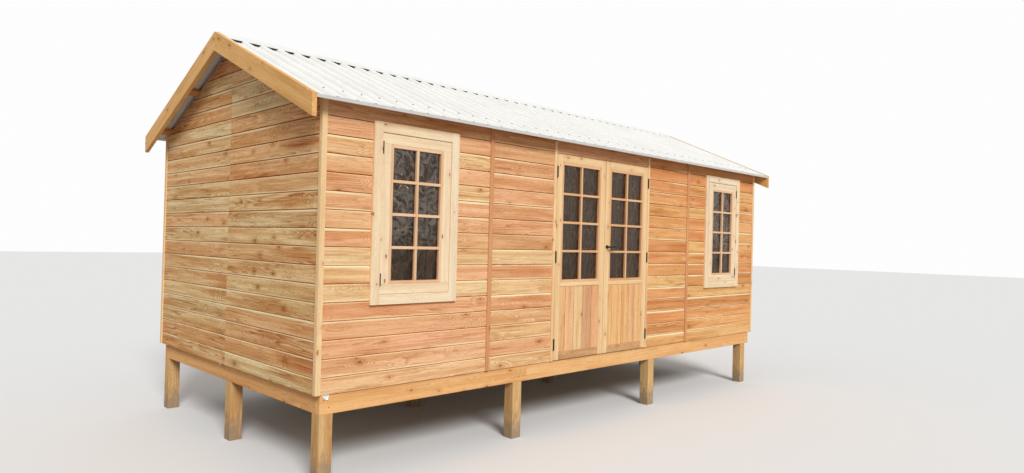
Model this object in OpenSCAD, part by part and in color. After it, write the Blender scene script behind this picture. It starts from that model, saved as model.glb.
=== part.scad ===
// Garden office pod: a board-clad timber building on short posts, with a pair of glazed doors,
// two glazed windows and a ribbed steel gable roof. Millimetres, +Z up, the front towards -Y.
// The origin is at ground level, at the centre of the plan.

/* [Shell] */
// Length over the corner trims
shell_length = 6240; // [5600:20:7400]
// Width over the corner trims
shell_width = 3040; // [2600:20:3600]
// Height of the wall above the doorway, up to the top of its framing at the eaves
header_height = 107; // [60:1:300]
// Thickness of the wall boards
board_thickness = 12; // [9:1:22]
// Depth of the wall framing timber
stud_depth = 42; // [35:1:90]
// Width of the wall framing timber
stud_width = 35; // [30:1:50]
// Largest distance between studs
stud_spacing = 560; // [400:10:640]
// Height of the noggings above the wall's foot
nogging_height = 980; // [700:10:1200]

/* [Base] */
// Height of the posts under the bearers
post_height = 490; // [200:10:900]
// Side of a square post
post_side = 105; // [75:5:125]
// Distance between the first and second post of a row
first_bay = 1866; // [1400:2:2200]
// Distance of the last post's face from the end of the bearers
last_post_inset = 82; // [0:2:300]
// Depth of the bearers
bearer_depth = 140; // [120:5:240]
// Thickness of the bearers
bearer_thickness = 45; // [35:1:70]
// Distance of the bearers' ends behind the end walls' studs
bearer_setback = 26; // [0:1:60]
// Distance of each joint in the long bearers past the nearest post's centre
bearer_joint_offset = 112; // [60:2:160]
// Width of the saw gap at each joint in the long bearers
bearer_joint_gap = 1.5; // [0.5:0.5:4]
// Depth of the floor joists
joist_depth = 90; // [70:5:120]
// Largest distance between floor joists
joist_spacing = 520; // [300:10:620]
// Thickness of the floor deck
deck_thickness = 19; // [12:1:25]

/* [Trim] */
// Thickness of the corner trims and joint strips
trim_thickness = 10; // [8:1:18]
// Width of each face of a corner trim
corner_trim_width = 40; // [30:1:70]
// Width of the strips that cover the joints between wall panels
strip_width = 42; // [30:1:60]
// Width of the plain panel beside the doors, to the middle of its strip
plain_panel_width = 778; // [700:2:900]

/* [Doors] */
// Clear width between the door jambs
doorway_width = 1450; // [1300:10:1500]
// Height of the doorway above the wall's foot
doorway_height = 1913; // [1850:1:1940]
// Width of each door jamb
jamb_width = 32; // [25:1:60]
// Thickness of a door leaf
leaf_thickness = 40; // [35:1:48]
// Width of a leaf's stiles
leaf_stile = 95; // [80:1:120]
// Height of a leaf's top rail
leaf_top_rail = 99; // [70:1:130]
// Height of a leaf's bottom rail
leaf_bottom_rail = 70; // [60:1:150]
// Height of the middle rail under the glass
leaf_mid_rail = 63; // [50:1:120]
// Height of the boarded panel below the middle rail
leaf_panel_height = 607; // [400:1:750]
// Thickness of the boarded panel
leaf_panel_thickness = 14; // [9:1:18]
// Distance of the boarded panel behind the face of its leaf
leaf_panel_setback = 4; // [1:1:12]
// Working gap between a leaf and what is beside it
leaf_gap = 5; // [5:0.5:8]
// Working gap between the two leaves
meeting_gap = 7; // [7:0.5:12]
// Projection of the stop beads into the doorway
stop_width = 12; // [8:1:20]

/* [Door furniture] */
// Height of a hinge
hinge_height = 105; // [75:1:130]
// Radius of a hinge knuckle
knuckle_radius = 6.5; // [5:0.5:8]
// Radius of a hinge pin
pin_radius = 2.5; // [2:0.5:3.5]
// Thickness of a hinge plate
plate_thickness = 2; // [1.5:0.1:2.4]
// Width of a hinge plate over the edge of a leaf
plate_width = 30; // [20:1:32]
// Height of the middle of the lowest hinge above the wall's foot
hinge_foot = 151; // [100:1:300]
// Distance of the middle of the highest hinge below the top of the doorway
hinge_head = 173; // [100:1:300]
// Height of the lever handle above the wall's foot
lever_height = 1058; // [900:1:1200]
// Distance of the lever's spindle from the edge of its leaf
lever_backset = 33; // [28:1:55]
// Length of the lever from its spindle
lever_length = 96; // [70:1:120]
// Distance of the lever's face from the leaf
lever_standoff = 54; // [40:1:70]
// Radius of the round plate behind the lever
rose_radius = 18; // [15:0.5:24]
// Thickness of the round plate
rose_thickness = 8; // [5:0.5:10]
// Radius of the spindle
spindle_radius = 4; // [3:0.5:5]

/* [Windows] */
// Clear width inside a window frame
window_width = 650; // [500:2:720]
// Clear height inside a window frame
window_height = 1182; // [900:2:1220]
// Distance of the middle of a window from the corner of the building
window_station = 811; // [760:1:860]
// Distance of a window's clear head below the top of the doorway
window_head_drop = 56; // [30:1:200]
// Thickness of the lining in the wall
lining_thickness = 20; // [15:1:28]
// Width of the casing boards on the wall
casing_width = 75; // [50:1:90]
// Thickness of the casing boards
casing_thickness = 22; // [12:1:28]
// Gap between a sash and its frame
sash_gap = 2; // [1:0.5:4]
// Thickness of a sash
sash_thickness = 40; // [32:1:46]
// Distance of the sash behind the face of its casing
sash_setback = 8; // [0:1:12]
// Width of a sash's stiles
sash_stile = 100; // [60:1:120]
// Height of a sash's top rail
sash_top_rail = 102; // [60:1:120]
// Height of a sash's bottom rail
sash_bottom_rail = 96; // [60:1:130]
// Height of a window hinge
window_hinge_height = 90; // [60:1:110]
// Distance of the window hinges from the ends of the sash
window_hinge_inset = 62; // [40:1:150]

/* [Glazing] */
// Thickness of the glass
glass_thickness = 5; // [3:0.5:8]
// Distance of the glass behind the face of its leaf or sash
glass_setback = 24; // [16:1:26]
// Width of the beads around the glass, counted in the stiles and rails
bead_width = 24; // [12:1:30]
// Width of a glazing bar
bar_width = 22; // [16:1:30]
// Rows of panes in each door and window
pane_rows = 4; // [2:1:6]

/* [Roof] */
// Pitch of the roof in degrees
roof_pitch = 23.5; // [18:0.5:30]
// Roof overhang in front of and behind the walls
eave_overhang = 125; // [100:5:300]
// Roof overhang past the end walls
gable_overhang = 150; // [100:5:300]
// Thickness of a purlin
purlin_thickness = 35; // [30:1:48]
// Width of a purlin along the slope
purlin_width = 70; // [50:1:80]
// Distance of the top purlin's middle from the ridge line
top_purlin_offset = 50; // [48:1:80]
// Distance of the middle purlin from the ridge line
mid_purlin_offset = 750; // [400:5:900]
// Distance of the eave purlin's middle from the face of the wall
eave_purlin_inset = 92; // [90:1:200]
// Depth of a rafter
rafter_depth = 90; // [70:5:120]
// Thickness of a rafter
rafter_thickness = 35; // [30:1:45]
// Height of the collar ties above the top of the walls
collar_height = 330; // [250:5:400]
// Thickness of a barge board
barge_thickness = 35; // [20:1:45]
// Depth of a barge board, measured plumb
barge_depth = 158; // [130:1:200]
// Distance between the ribs of the roof sheets
rib_pitch = 152; // [120:1:200]
// Height of a rib
rib_height = 24; // [15:1:35]
// Width of a rib at its foot
rib_foot = 54; // [45:1:60]
// Width of a rib at its top
rib_top = 26; // [18:1:32]
// Thickness of the roof sheets and flashings as modelled
sheet_thickness = 2; // [1:0.5:3]
// Distance of the sheets' top ends from the ridge line
ridge_clearance = 14; // [12:1:30]
// Width of each wing of the ridge cap along the slope
ridge_cap_wing = 180; // [100:5:240]
// Distance of the eave flashing's top edge below the rib tops
eave_trim_drop = 4; // [0:0.5:10]
// Length of the eave flashing's leg under the sheet
eave_trim_leg = 40; // [20:1:60]

/* [Hidden] */
$fn = 48;

// Plan planes, each as a distance from the middle of the plan
trim_x = shell_length / 2;
trim_y = shell_width / 2;
board_x = trim_x - trim_thickness;
board_y = trim_y - trim_thickness;
stud_x = board_x - board_thickness;
stud_y = board_y - board_thickness;
room_x = stud_x - stud_depth;
room_y = stud_y - stud_depth;
bearer_x = stud_x - bearer_setback;
bearer_y = stud_y;

// Levels above the ground
wall_foot = post_height + bearer_depth;
deck_top = wall_foot + deck_thickness;
doorway_top = wall_foot + doorway_height;
wall_top = doorway_top + header_height;

// Front wall stations, each as a distance from the middle of the wall
jamb_in = doorway_width / 2;
jamb_out = jamb_in + jamb_width;
strip_x = jamb_out + plain_panel_width;
window_x = trim_x - window_station;
back_bay = board_x / 2;

// Posts: the first is flush with the bearers' end, the third is halfway between its neighbours
first_post = -bearer_x + post_side / 2;
second_post = first_post + first_bay;
last_post = bearer_x - last_post_inset - post_side / 2;
third_post = (second_post + last_post) / 2;
post_columns = [first_post, second_post, third_post, last_post];
post_rows = [-bearer_y + post_side / 2, 0, bearer_y - post_side / 2];
bearer_joints = [second_post + bearer_joint_offset, third_post + bearer_joint_offset];

// Door leaves
leaf_outer = trim_y;
leaf_inner = leaf_outer - leaf_thickness;
stop_face = leaf_inner - leaf_gap;
leaf_foot = wall_foot + leaf_gap;
leaf_top = doorway_top - leaf_gap;
leaf_hinge_edge = jamb_in - leaf_gap;
leaf_meeting_edge = meeting_gap / 2;
glass_foot = leaf_foot + leaf_bottom_rail + leaf_panel_height + leaf_mid_rail;
glass_top = leaf_top - leaf_top_rail;
pin_clearance = 0.3;
knuckle_clearance = 0.5;
knuckle_gap = 1;
hinge_axis_x = jamb_in - leaf_gap / 2;
hinge_axis_y = leaf_outer + knuckle_radius + knuckle_clearance;
hinge_levels = [hinge_foot, doorway_height / 2, doorway_height - hinge_head];
knuckle_length = hinge_height / 3;

// Lever handle
spindle_clearance = 1;
lever_x = leaf_meeting_edge + lever_backset;
lever_z = wall_foot + lever_height;
lever_seat_gap = 0.3;
lever_hub_radius = 9;
lever_grip_height = 18;
lever_grip_thickness = 12;

// Windows
window_head = doorway_top - window_head_drop;
window_bottom = window_head - window_height;
casing_face = board_y + casing_thickness;
sash_outer = casing_face - sash_setback;
sash_inner = sash_outer - sash_thickness;
window_knuckle = 5;

// Roof planes: the rake plane passes through the top outer edge of the wall boards
ridge_rake = wall_top + board_y * tan(roof_pitch);
seat_gap = 0.2;
board_relief = 2;
purlin_lift = seat_gap / cos(roof_pitch);
pan_lift = purlin_lift + (purlin_thickness + seat_gap) / cos(roof_pitch);
rib_lift = pan_lift + (rib_height + sheet_thickness) / cos(roof_pitch);
eave_y = trim_y + eave_overhang;
eave_trim_front = rib_height + sheet_thickness - eave_trim_drop;
sheet_end = eave_y - sheet_thickness * cos(roof_pitch) - eave_trim_front * sin(roof_pitch);
barge_outer = trim_x + gable_overhang;
barge_inner = barge_outer - barge_thickness;
slope_length = (sheet_end - ridge_clearance) / cos(roof_pitch);
eave_purlin = trim_y - eave_purlin_inset;
plumb_rafter = rafter_depth / cos(roof_pitch);
rafter_stations = [-strip_x, 0, strip_x];
rib_count = floor((2 * barge_inner - rib_foot / 2 - 1) / rib_pitch);

// Height of the rake plane above the ground at distance y from the ridge line
function rake(y) = ridge_rake - abs(y) * tan(roof_pitch);

// Height of the underside of the roof sheet above the ground at distance y from the ridge line
function under_sheet(y) = rake(y) + pan_lift;

// Outline points of one rib, from its left foot to its right foot
function rib_points(x, lift, half_foot, half_top) = [
    [x - half_foot, lift], [x - half_top, lift + rib_height],
    [x + half_top, lift + rib_height], [x + half_foot, lift]
];

// A box between two corners
module block(x0, x1, y0, y1, z0, z1) {
    translate([x0, y0, z0]) cube([x1 - x0, y1 - y0, z1 - z0]);
}

// The same shape on both sides of the plane x = 0
module both_ends() {
    children();
    mirror([1, 0, 0]) children();
}

// The same shape on both sides of the plane y = 0
module both_sides() {
    children();
    mirror([0, 1, 0]) children();
}

// Boards that face -Y from x0 to x1, from depth inner to depth outer, cut to the roof's slope at their top
module eave_boards(x0, x1, inner, outer, foot) {
    profile_yz(x0, x1 - x0, [
        [-outer, foot], [-inner, foot],
        [-inner, under_sheet(inner) - board_relief], [-outer, under_sheet(outer) - board_relief]
    ]);
}

// An outline in y and z, extruded along x from x0
module profile_yz(x0, width, points) {
    translate([x0, 0, 0]) rotate([90, 0, 90]) linear_extrude(width) polygon(points);
}

// Studs and plates of a wall panel that faces -Y, from x0 to x1
module front_frame(x0, x1) {
    bays = ceil((x1 - x0 - stud_width) / stud_spacing);
    step = (x1 - x0 - stud_width) / bays;
    nogging = wall_foot + nogging_height;
    for (i = [0 : bays]) block(x0 + i * step, x0 + i * step + stud_width, -stud_y, -room_y, deck_top, wall_top);
    for (z = [deck_top, nogging, wall_top - stud_width]) block(x0, x1, -stud_y, -room_y, z, z + stud_width);
}

// A plain wall panel that faces -Y: boards from x0 to x1, framing from f0 to f1
module front_panel(x0, x1, f0, f1) {
    eave_boards(x0, x1, stud_y, board_y, wall_foot);
    front_frame(f0, f1);
}

// The hole for a window in the front wall, grown by extra on each side
module window_hole(extra) {
    half = window_width / 2 + lining_thickness + extra;
    foot = window_bottom - lining_thickness - extra;
    head = window_head + lining_thickness + extra;
    block(window_x - half, window_x + half, -board_y - 1, -room_y + 1, foot, head);
}

// The window panel at the right-hand end of the front wall
module window_panel() {
    difference() {
        union() {
            front_panel(strip_x, board_x, strip_x, stud_x);
            intersection() {
                window_hole(stud_width);
                block(strip_x, stud_x, -stud_y, -room_y, deck_top, wall_top);
            }
        }
        window_hole(0);
    }
}

// One half of the right-hand end wall, from the ridge line back to the back corner
module end_panel() {
    bays = ceil((room_y - stud_width) / stud_spacing);
    step = (room_y - stud_width) / bays;
    plate = stud_width / cos(roof_pitch);
    nogging = wall_foot + nogging_height;
    profile_yz(stud_x, board_thickness,
        [[0, wall_foot], [stud_y, wall_foot], [stud_y, rake(stud_y)], [0, rake(0)]]);
    for (i = [0 : bays]) {
        y = i * step;
        profile_yz(room_x, stud_depth,
            [[y, deck_top], [y + stud_width, deck_top], [y + stud_width, rake(y + stud_width)], [y, rake(y)]]);
    }
    profile_yz(room_x, stud_depth,
        [[0, rake(0) - plate], [room_y, rake(room_y) - plate], [room_y, rake(room_y)], [0, rake(0)]]);
    block(room_x, stud_x, 0, room_y, deck_top, deck_top + stud_width);
    block(room_x, stud_x, 0, room_y, nogging, nogging + stud_width);
    block(room_x, stud_x, 0, room_y, wall_top - stud_width, wall_top);
}

// Glazing bars on both sides of a pane, in a leaf or sash between the planes outer and inner
module glazing_bars(x0, x1, outer, inner, z0, z1) {
    middle = (x0 + x1) / 2;
    row = (z1 - z0) / pane_rows;
    front = -outer + glass_setback;
    for (side = [[-outer, front], [front + glass_thickness, -inner]]) {
        block(middle - bar_width / 2, middle + bar_width / 2, side[0], side[1], z0, z1);
        for (i = [1 : pane_rows - 1]) {
            z = z0 + i * row;
            block(x0, x1, side[0], side[1], z - bar_width / 2, z + bar_width / 2);
        }
    }
}

// Stiles, rails and glazing bars of the right-hand leaf
module leaf_frame() {
    pane_x0 = leaf_meeting_edge + leaf_stile;
    pane_x1 = leaf_hinge_edge - leaf_stile;
    difference() {
        block(leaf_meeting_edge, leaf_hinge_edge, -leaf_outer, -leaf_inner, leaf_foot, leaf_top);
        block(pane_x0, pane_x1, -leaf_outer - 1, -leaf_inner + 1, glass_foot, glass_top);
        block(pane_x0 - bead_width, pane_x1 + bead_width, -leaf_outer - 1, -leaf_inner + 1,
            leaf_foot + leaf_bottom_rail, glass_foot - leaf_mid_rail);
    }
    glazing_bars(pane_x0, pane_x1, leaf_outer, leaf_inner, glass_foot, glass_top);
}

// Boarded panel in the foot of the right-hand leaf
module leaf_panel() {
    front = -leaf_outer + leaf_panel_setback;
    block(leaf_meeting_edge + leaf_stile - bead_width, leaf_hinge_edge - leaf_stile + bead_width,
        front, front + leaf_panel_thickness, leaf_foot + leaf_bottom_rail, glass_foot - leaf_mid_rail);
}

// Pane of the right-hand leaf
module leaf_glass() {
    front = -leaf_outer + glass_setback;
    block(leaf_meeting_edge + leaf_stile, leaf_hinge_edge - leaf_stile,
        front, front + glass_thickness, glass_foot, glass_top);
}

// The leaf's half of its hinges: a plate on the edge of the leaf and the middle knuckle
module leaf_hinges() {
    for (level = hinge_levels) translate([hinge_axis_x, -hinge_axis_y, wall_foot + level]) {
        edge = leaf_hinge_edge - hinge_axis_x;
        difference() {
            union() {
                block(edge, edge + plate_thickness, 0, plate_width,
                    -knuckle_length / 2 + knuckle_gap, knuckle_length / 2 - knuckle_gap);
                block(edge, edge + plate_thickness, knuckle_radius + knuckle_clearance, plate_width,
                    -hinge_height / 2, hinge_height / 2);
                translate([0, 0, -knuckle_length / 2 + knuckle_gap])
                    cylinder(r = knuckle_radius, h = knuckle_length - 2 * knuckle_gap);
            }
            translate([0, 0, -hinge_height]) cylinder(r = pin_radius + pin_clearance, h = 2 * hinge_height);
        }
    }
}

// The jamb's half of the right-hand hinges: a plate, the outer knuckles and the pin
module jamb_hinges_right() {
    for (level = hinge_levels) translate([hinge_axis_x, -hinge_axis_y, wall_foot + level]) {
        edge = jamb_in - hinge_axis_x;
        plate_start = knuckle_radius + knuckle_clearance;
        block(edge - plate_thickness, edge, plate_start, plate_width, -hinge_height / 2, hinge_height / 2);
        for (side = [-1, 1]) {
            low = side * hinge_height / 2 - (side + 1) / 2 * knuckle_length;
            translate([0, 0, low]) cylinder(r = knuckle_radius, h = knuckle_length);
            block(edge - plate_thickness, edge, 0, plate_start, low, low + knuckle_length);
        }
        translate([0, 0, -hinge_height / 2]) cylinder(r = pin_radius, h = hinge_height);
    }
}

// A round bar along Y, between two depths, centred on the lever's spindle
module spindle_bar(radius, y0, y1) {
    translate([lever_x, y0, lever_z]) rotate([-90, 0, 0]) cylinder(r = radius, h = y1 - y0);
}

// Hub and grip of the lever on the outside of the leaf
module lever_arm() {
    hub_start = -leaf_outer - lever_standoff;
    hub_end = -leaf_outer - rose_thickness - lever_seat_gap;
    spindle_bar(lever_hub_radius, hub_start, hub_end);
    translate([lever_x, hub_start, lever_z]) {
        block(0, lever_length - lever_grip_height / 2, 0, lever_grip_thickness,
            -lever_grip_height / 2, lever_grip_height / 2);
        translate([lever_length - lever_grip_height / 2, 0, 0]) rotate([-90, 0, 0])
            cylinder(r = lever_grip_height / 2, h = lever_grip_thickness);
    }
}

// Frame of the right-hand window: lining in the wall and casing boards on its face
module window_frame() {
    half = window_width / 2;
    lining = half + lining_thickness;
    casing = half + casing_width;
    difference() {
        union() {
            block(window_x - lining, window_x + lining, -board_y, -room_y,
                window_bottom - lining_thickness, window_head + lining_thickness);
            block(window_x - casing, window_x + casing, -casing_face, -board_y,
                window_bottom - casing_width, window_head + casing_width);
        }
        block(window_x - half, window_x + half, -casing_face - 1, -room_y + 1, window_bottom, window_head);
    }
}

// Sash of the right-hand window, with its glazing bars
module window_sash() {
    half = window_width / 2 - sash_gap;
    foot = window_bottom + sash_gap;
    head = window_head - sash_gap;
    x0 = window_x - half + sash_stile;
    x1 = window_x + half - sash_stile;
    difference() {
        block(window_x - half, window_x + half, -sash_outer, -sash_inner, foot, head);
        block(x0, x1, -sash_outer - 1, -sash_inner + 1, foot + sash_bottom_rail, head - sash_top_rail);
    }
    glazing_bars(x0, x1, sash_outer, sash_inner, foot + sash_bottom_rail, head - sash_top_rail);
}

// Pane of the right-hand window
module window_pane() {
    half = window_width / 2 - sash_gap - sash_stile;
    front = -sash_outer + glass_setback;
    block(window_x - half, window_x + half, front, front + glass_thickness,
        window_bottom + sash_gap + sash_bottom_rail, window_head - sash_gap - sash_top_rail);
}

// Hinges of the right-hand window, on the side away from the doors
module window_hinge_pair() {
    edge = window_x + window_width / 2;
    pin = -sash_outer - window_knuckle - knuckle_clearance;
    levels = [window_bottom + sash_gap + window_hinge_inset + window_hinge_height / 2,
        window_head - sash_gap - window_hinge_inset - window_hinge_height / 2];
    for (z = levels) translate([0, 0, z - window_hinge_height / 2]) {
        block(edge - sash_gap, edge, pin, -sash_inner, 0, window_hinge_height);
        translate([edge - window_knuckle, pin, 0]) cylinder(r = window_knuckle, h = window_hinge_height);
    }
}

// A purlin laid flat on the back slope, its middle at distance y from the ridge line
module purlin(y) {
    translate([0, y, rake(y) + purlin_lift]) rotate([-roof_pitch, 0, 0])
        block(-barge_inner, barge_inner, -purlin_width / 2, purlin_width / 2, 0, purlin_thickness);
}

// A pair of rafters with its collar tie, notched over the wall tops, its middle at x
module rafter_pair(x) {
    outer = [[-stud_y, wall_top], [-stud_y, rake(stud_y)], [0, rake(0)], [stud_y, rake(stud_y)],
        [stud_y, wall_top], [room_y, wall_top]];
    inner = [[room_y, rake(room_y) - plumb_rafter], [0, rake(0) - plumb_rafter],
        [-room_y, rake(room_y) - plumb_rafter], [-room_y, wall_top]];
    collar_foot = wall_top + collar_height;
    collar_reach = (rake(0) - collar_foot - rafter_depth) / tan(roof_pitch);
    profile_yz(x - rafter_thickness / 2, rafter_thickness, concat(outer, inner));
    block(x - rafter_thickness / 2, x + rafter_thickness / 2, -collar_reach, collar_reach,
        collar_foot, collar_foot + rafter_depth);
}

// Barge board at the right-hand end of the back slope, cut plumb at the ridge and the eave
module barge_board() {
    profile_yz(barge_inner, barge_thickness, [
        [0, rake(0) + rib_lift], [0, rake(0) + rib_lift - barge_depth],
        [eave_y, rake(eave_y) + rib_lift - barge_depth], [eave_y, rake(eave_y) + rib_lift]
    ]);
}

// Ribbed sheet of the back slope, its left edge cut along the middle of a rib
module roof_sheet() {
    t = sheet_thickness;
    ribs = [for (i = [0 : rib_count]) -barge_inner + i * rib_pitch];
    top = [for (x = ribs) each rib_points(x, t, rib_foot / 2, rib_top / 2)];
    under = [for (i = [rib_count : -1 : 0])
        let (points = rib_points(ribs[i], 0, rib_foot / 2 - t, rib_top / 2 - t / 2))
        each [points[3], points[2], points[1], points[0]]];
    full = concat(top, [[barge_inner, t], [barge_inner, 0]], under);
    last = len(full) - 1;
    left = [[-barge_inner, rib_height], [-barge_inner, rib_height + t]];
    outline = concat(left, [for (i = [2 : last - 2]) full[i]]);
    translate([0, sheet_end, under_sheet(sheet_end)]) rotate([90 - roof_pitch, 0, 0])
        linear_extrude(slope_length) polygon(outline);
}

// Eave flashing of the back slope: a leg under the sheet and a front over the ends of the ribs
module eave_trim() {
    t = sheet_thickness;
    leg = eave_trim_leg;
    front = eave_trim_front;
    translate([0, sheet_end, under_sheet(sheet_end)]) rotate([-roof_pitch, 0, 0])
        profile_yz(-barge_inner, 2 * barge_inner, [[-leg, -t], [t, -t], [t, front], [0, front], [0, 0], [-leg, 0]]);
}

module posts() {
    color("darkkhaki") for (x = post_columns, y = post_rows)
        block(x - post_side / 2, x + post_side / 2, y - post_side / 2, y + post_side / 2, 0, post_height);
}

module long_bearer() {
    gap = bearer_joint_gap / 2;
    difference() {
        block(-bearer_x, bearer_x, -bearer_y, -bearer_y + bearer_thickness, post_height, wall_foot);
        for (x = bearer_joints) block(x - gap, x + gap, -bearer_y - 1, 0, post_height - 1, wall_foot + 1);
    }
}

module bearers_long() {
    color("goldenrod") both_sides() long_bearer();
}

module bearer_middle() {
    color("goldenrod") block(-bearer_x + bearer_thickness, bearer_x - bearer_thickness,
        -bearer_thickness / 2, bearer_thickness / 2, post_height, wall_foot);
}

module bearers_end() {
    color("goldenrod") both_ends() block(bearer_x - bearer_thickness, bearer_x,
        -bearer_y + bearer_thickness, bearer_y - bearer_thickness, post_height, wall_foot);
}

module floor_joists() {
    span = 2 * (bearer_x - bearer_thickness);
    bays = ceil(span / joist_spacing);
    color("burlywood") both_sides() for (i = [1 : bays - 1]) {
        x = -span / 2 + i * span / bays;
        block(x - bearer_thickness / 2, x + bearer_thickness / 2, bearer_thickness / 2,
            bearer_y - bearer_thickness, wall_foot - joist_depth, wall_foot);
    }
}

module floor_deck() {
    color("tan") difference() {
        block(-stud_x, stud_x, -stud_y, stud_y, wall_foot, deck_top);
        block(-jamb_in, jamb_in, -trim_y, -stop_face, wall_foot - 1, deck_top + 1);
        both_ends() block(jamb_in, jamb_out, -trim_y, -room_y, wall_foot - 1, deck_top + 1);
    }
}

module front_panel_window_left() {
    color("peru") mirror([1, 0, 0]) window_panel();
}

module front_panel_window_right() {
    color("peru") window_panel();
}

module front_panel_plain_left() {
    color("peru") front_panel(-strip_x, -jamb_out, -strip_x, -jamb_out);
}

module front_panel_plain_right() {
    color("peru") front_panel(jamb_out, strip_x, jamb_out, strip_x);
}

module front_panel_header() {
    bead = jamb_in - stop_width;
    color("peru") {
        eave_boards(-jamb_in, jamb_in, stud_y, board_y, doorway_top);
        block(-jamb_in, jamb_in, -stud_y, -room_y, doorway_top, wall_top);
        block(-bead, bead, -stop_face, -room_y, doorway_top - stop_width, doorway_top);
    }
}

module left_panel_front() {
    color("burlywood") mirror([1, 0, 0]) mirror([0, 1, 0]) end_panel();
}

module left_panel_back() {
    color("burlywood") mirror([1, 0, 0]) end_panel();
}

module right_panel_front() {
    color("burlywood") mirror([0, 1, 0]) end_panel();
}

module right_panel_back() {
    color("burlywood") end_panel();
}

module back_panel(x0, x1) {
    f0 = max(x0, -stud_x);
    f1 = min(x1, stud_x);
    color("peru") mirror([0, 1, 0]) front_panel(x0, x1, f0, f1);
}

module back_panel_1() {
    back_panel(-2 * back_bay, -back_bay);
}

module back_panel_2() {
    back_panel(-back_bay, 0);
}

module back_panel_3() {
    back_panel(0, back_bay);
}

module back_panel_4() {
    back_panel(back_bay, 2 * back_bay);
}

module corner_trims() {
    color("navajowhite") both_ends() both_sides() union() {
        eave_boards(board_x, trim_x, trim_y - corner_trim_width, trim_y, wall_foot);
        eave_boards(trim_x - corner_trim_width, trim_x, board_y, trim_y, wall_foot);
    }
}

module joint_strips() {
    half = strip_width / 2;
    color("rosybrown") {
        both_ends() eave_boards(strip_x - half, strip_x + half, board_y, trim_y, wall_foot);
        for (x = [-back_bay, 0, back_bay])
            mirror([0, 1, 0]) eave_boards(x - half, x + half, board_y, trim_y, wall_foot);
    }
}

module door_jambs() {
    color("navajowhite") both_ends() union() {
        block(jamb_in, jamb_out, -stud_y, -room_y, wall_foot, wall_top);
        eave_boards(jamb_in, jamb_out, stud_y, trim_y, wall_foot);
        block(jamb_in - stop_width, jamb_in, -stop_face, -room_y, deck_top, doorway_top);
    }
}

module jamb_hinges() {
    color("black") both_ends() jamb_hinges_right();
}

module left_leaf_frame() {
    color("wheat") mirror([1, 0, 0]) leaf_frame();
}

module left_leaf_panel() {
    color("burlywood") mirror([1, 0, 0]) leaf_panel();
}

module left_leaf_glass() {
    color("dimgray") mirror([1, 0, 0]) leaf_glass();
}

module left_leaf_hinges() {
    color("black") mirror([1, 0, 0]) leaf_hinges();
}

module right_leaf_frame() {
    color("wheat") difference() {
        leaf_frame();
        spindle_bar(spindle_radius + spindle_clearance, -leaf_outer - 1, -leaf_inner + 1);
    }
}

module right_leaf_panel() {
    color("burlywood") leaf_panel();
}

module right_leaf_glass() {
    color("dimgray") leaf_glass();
}

module right_leaf_hinges() {
    color("black") leaf_hinges();
}

module lever_roses() {
    color("black") difference() {
        union() {
            spindle_bar(rose_radius, -leaf_outer - rose_thickness, -leaf_outer);
            spindle_bar(rose_radius, -leaf_inner, -leaf_inner + rose_thickness);
        }
        spindle_bar(spindle_radius + spindle_clearance, -leaf_outer - lever_standoff, -room_y);
    }
}

module lever_handle() {
    middle = -(leaf_outer + leaf_inner) / 2;
    color("black") {
        lever_arm();
        translate([0, 2 * middle, 0]) mirror([0, 1, 0]) lever_arm();
        spindle_bar(spindle_radius, -leaf_outer - lever_standoff, -leaf_inner + lever_standoff);
    }
}

module window_frames() {
    color("navajowhite") both_ends() window_frame();
}

module window_sashes() {
    color("wheat") both_ends() window_sash();
}

module window_glass() {
    color("dimgray") both_ends() window_pane();
}

module window_hinges() {
    color("black") both_ends() window_hinge_pair();
}

module purlins() {
    color("sandybrown") both_sides() {
        for (y = [top_purlin_offset, mid_purlin_offset, eave_purlin]) purlin(y);
    }
}

module rafter_pairs() {
    color("burlywood") for (x = rafter_stations) rafter_pair(x);
}

module barge_boards_front() {
    color("peru") both_ends() mirror([0, 1, 0]) barge_board();
}

module barge_boards_back() {
    color("peru") both_ends() barge_board();
}

module roof_sheet_front() {
    color("whitesmoke") mirror([0, 1, 0]) roof_sheet();
}

module roof_sheet_back() {
    color("whitesmoke") roof_sheet();
}

module ridge_cap() {
    reach = ridge_cap_wing * cos(roof_pitch);
    skin = sheet_thickness / cos(roof_pitch);
    base = rake(0) + rib_lift + seat_gap / cos(roof_pitch);
    drop = reach * tan(roof_pitch);
    color("whitesmoke") profile_yz(-barge_inner, 2 * barge_inner, [
        [-reach, base - drop], [0, base], [reach, base - drop],
        [reach, base - drop + skin], [0, base + skin], [-reach, base - drop + skin]
    ]);
}

module eave_trims() {
    color("whitesmoke") both_sides() eave_trim();
}

posts();
bearers_long();
bearer_middle();
bearers_end();
floor_joists();
floor_deck();
front_panel_window_left();
front_panel_plain_left();
front_panel_header();
front_panel_plain_right();
front_panel_window_right();
left_panel_front();
left_panel_back();
right_panel_front();
right_panel_back();
back_panel_1();
back_panel_2();
back_panel_3();
back_panel_4();
corner_trims();
joint_strips();
door_jambs();
jamb_hinges();
left_leaf_frame();
left_leaf_panel();
left_leaf_glass();
left_leaf_hinges();
right_leaf_frame();
right_leaf_panel();
right_leaf_glass();
right_leaf_hinges();
lever_roses();
lever_handle();
window_frames();
window_sashes();
window_glass();
window_hinges();
purlins();
rafter_pairs();
barge_boards_front();
barge_boards_back();
roof_sheet_front();
roof_sheet_back();
ridge_cap();
eave_trims();
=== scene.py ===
# %% [markdown]
# # A garden office pod
#
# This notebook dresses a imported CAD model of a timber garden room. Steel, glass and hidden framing
# keep their CAD meshes and get a finish. Boards and joinery are laid again, one board at a time,
# because a real wall shows every board: its own tone, its own knots and a shadow at each joint.

import random
from math import ceil, cos, floor, pi, radians, sin, tan

import bmesh
import bpy
from mathutils import Matrix, Vector


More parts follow.
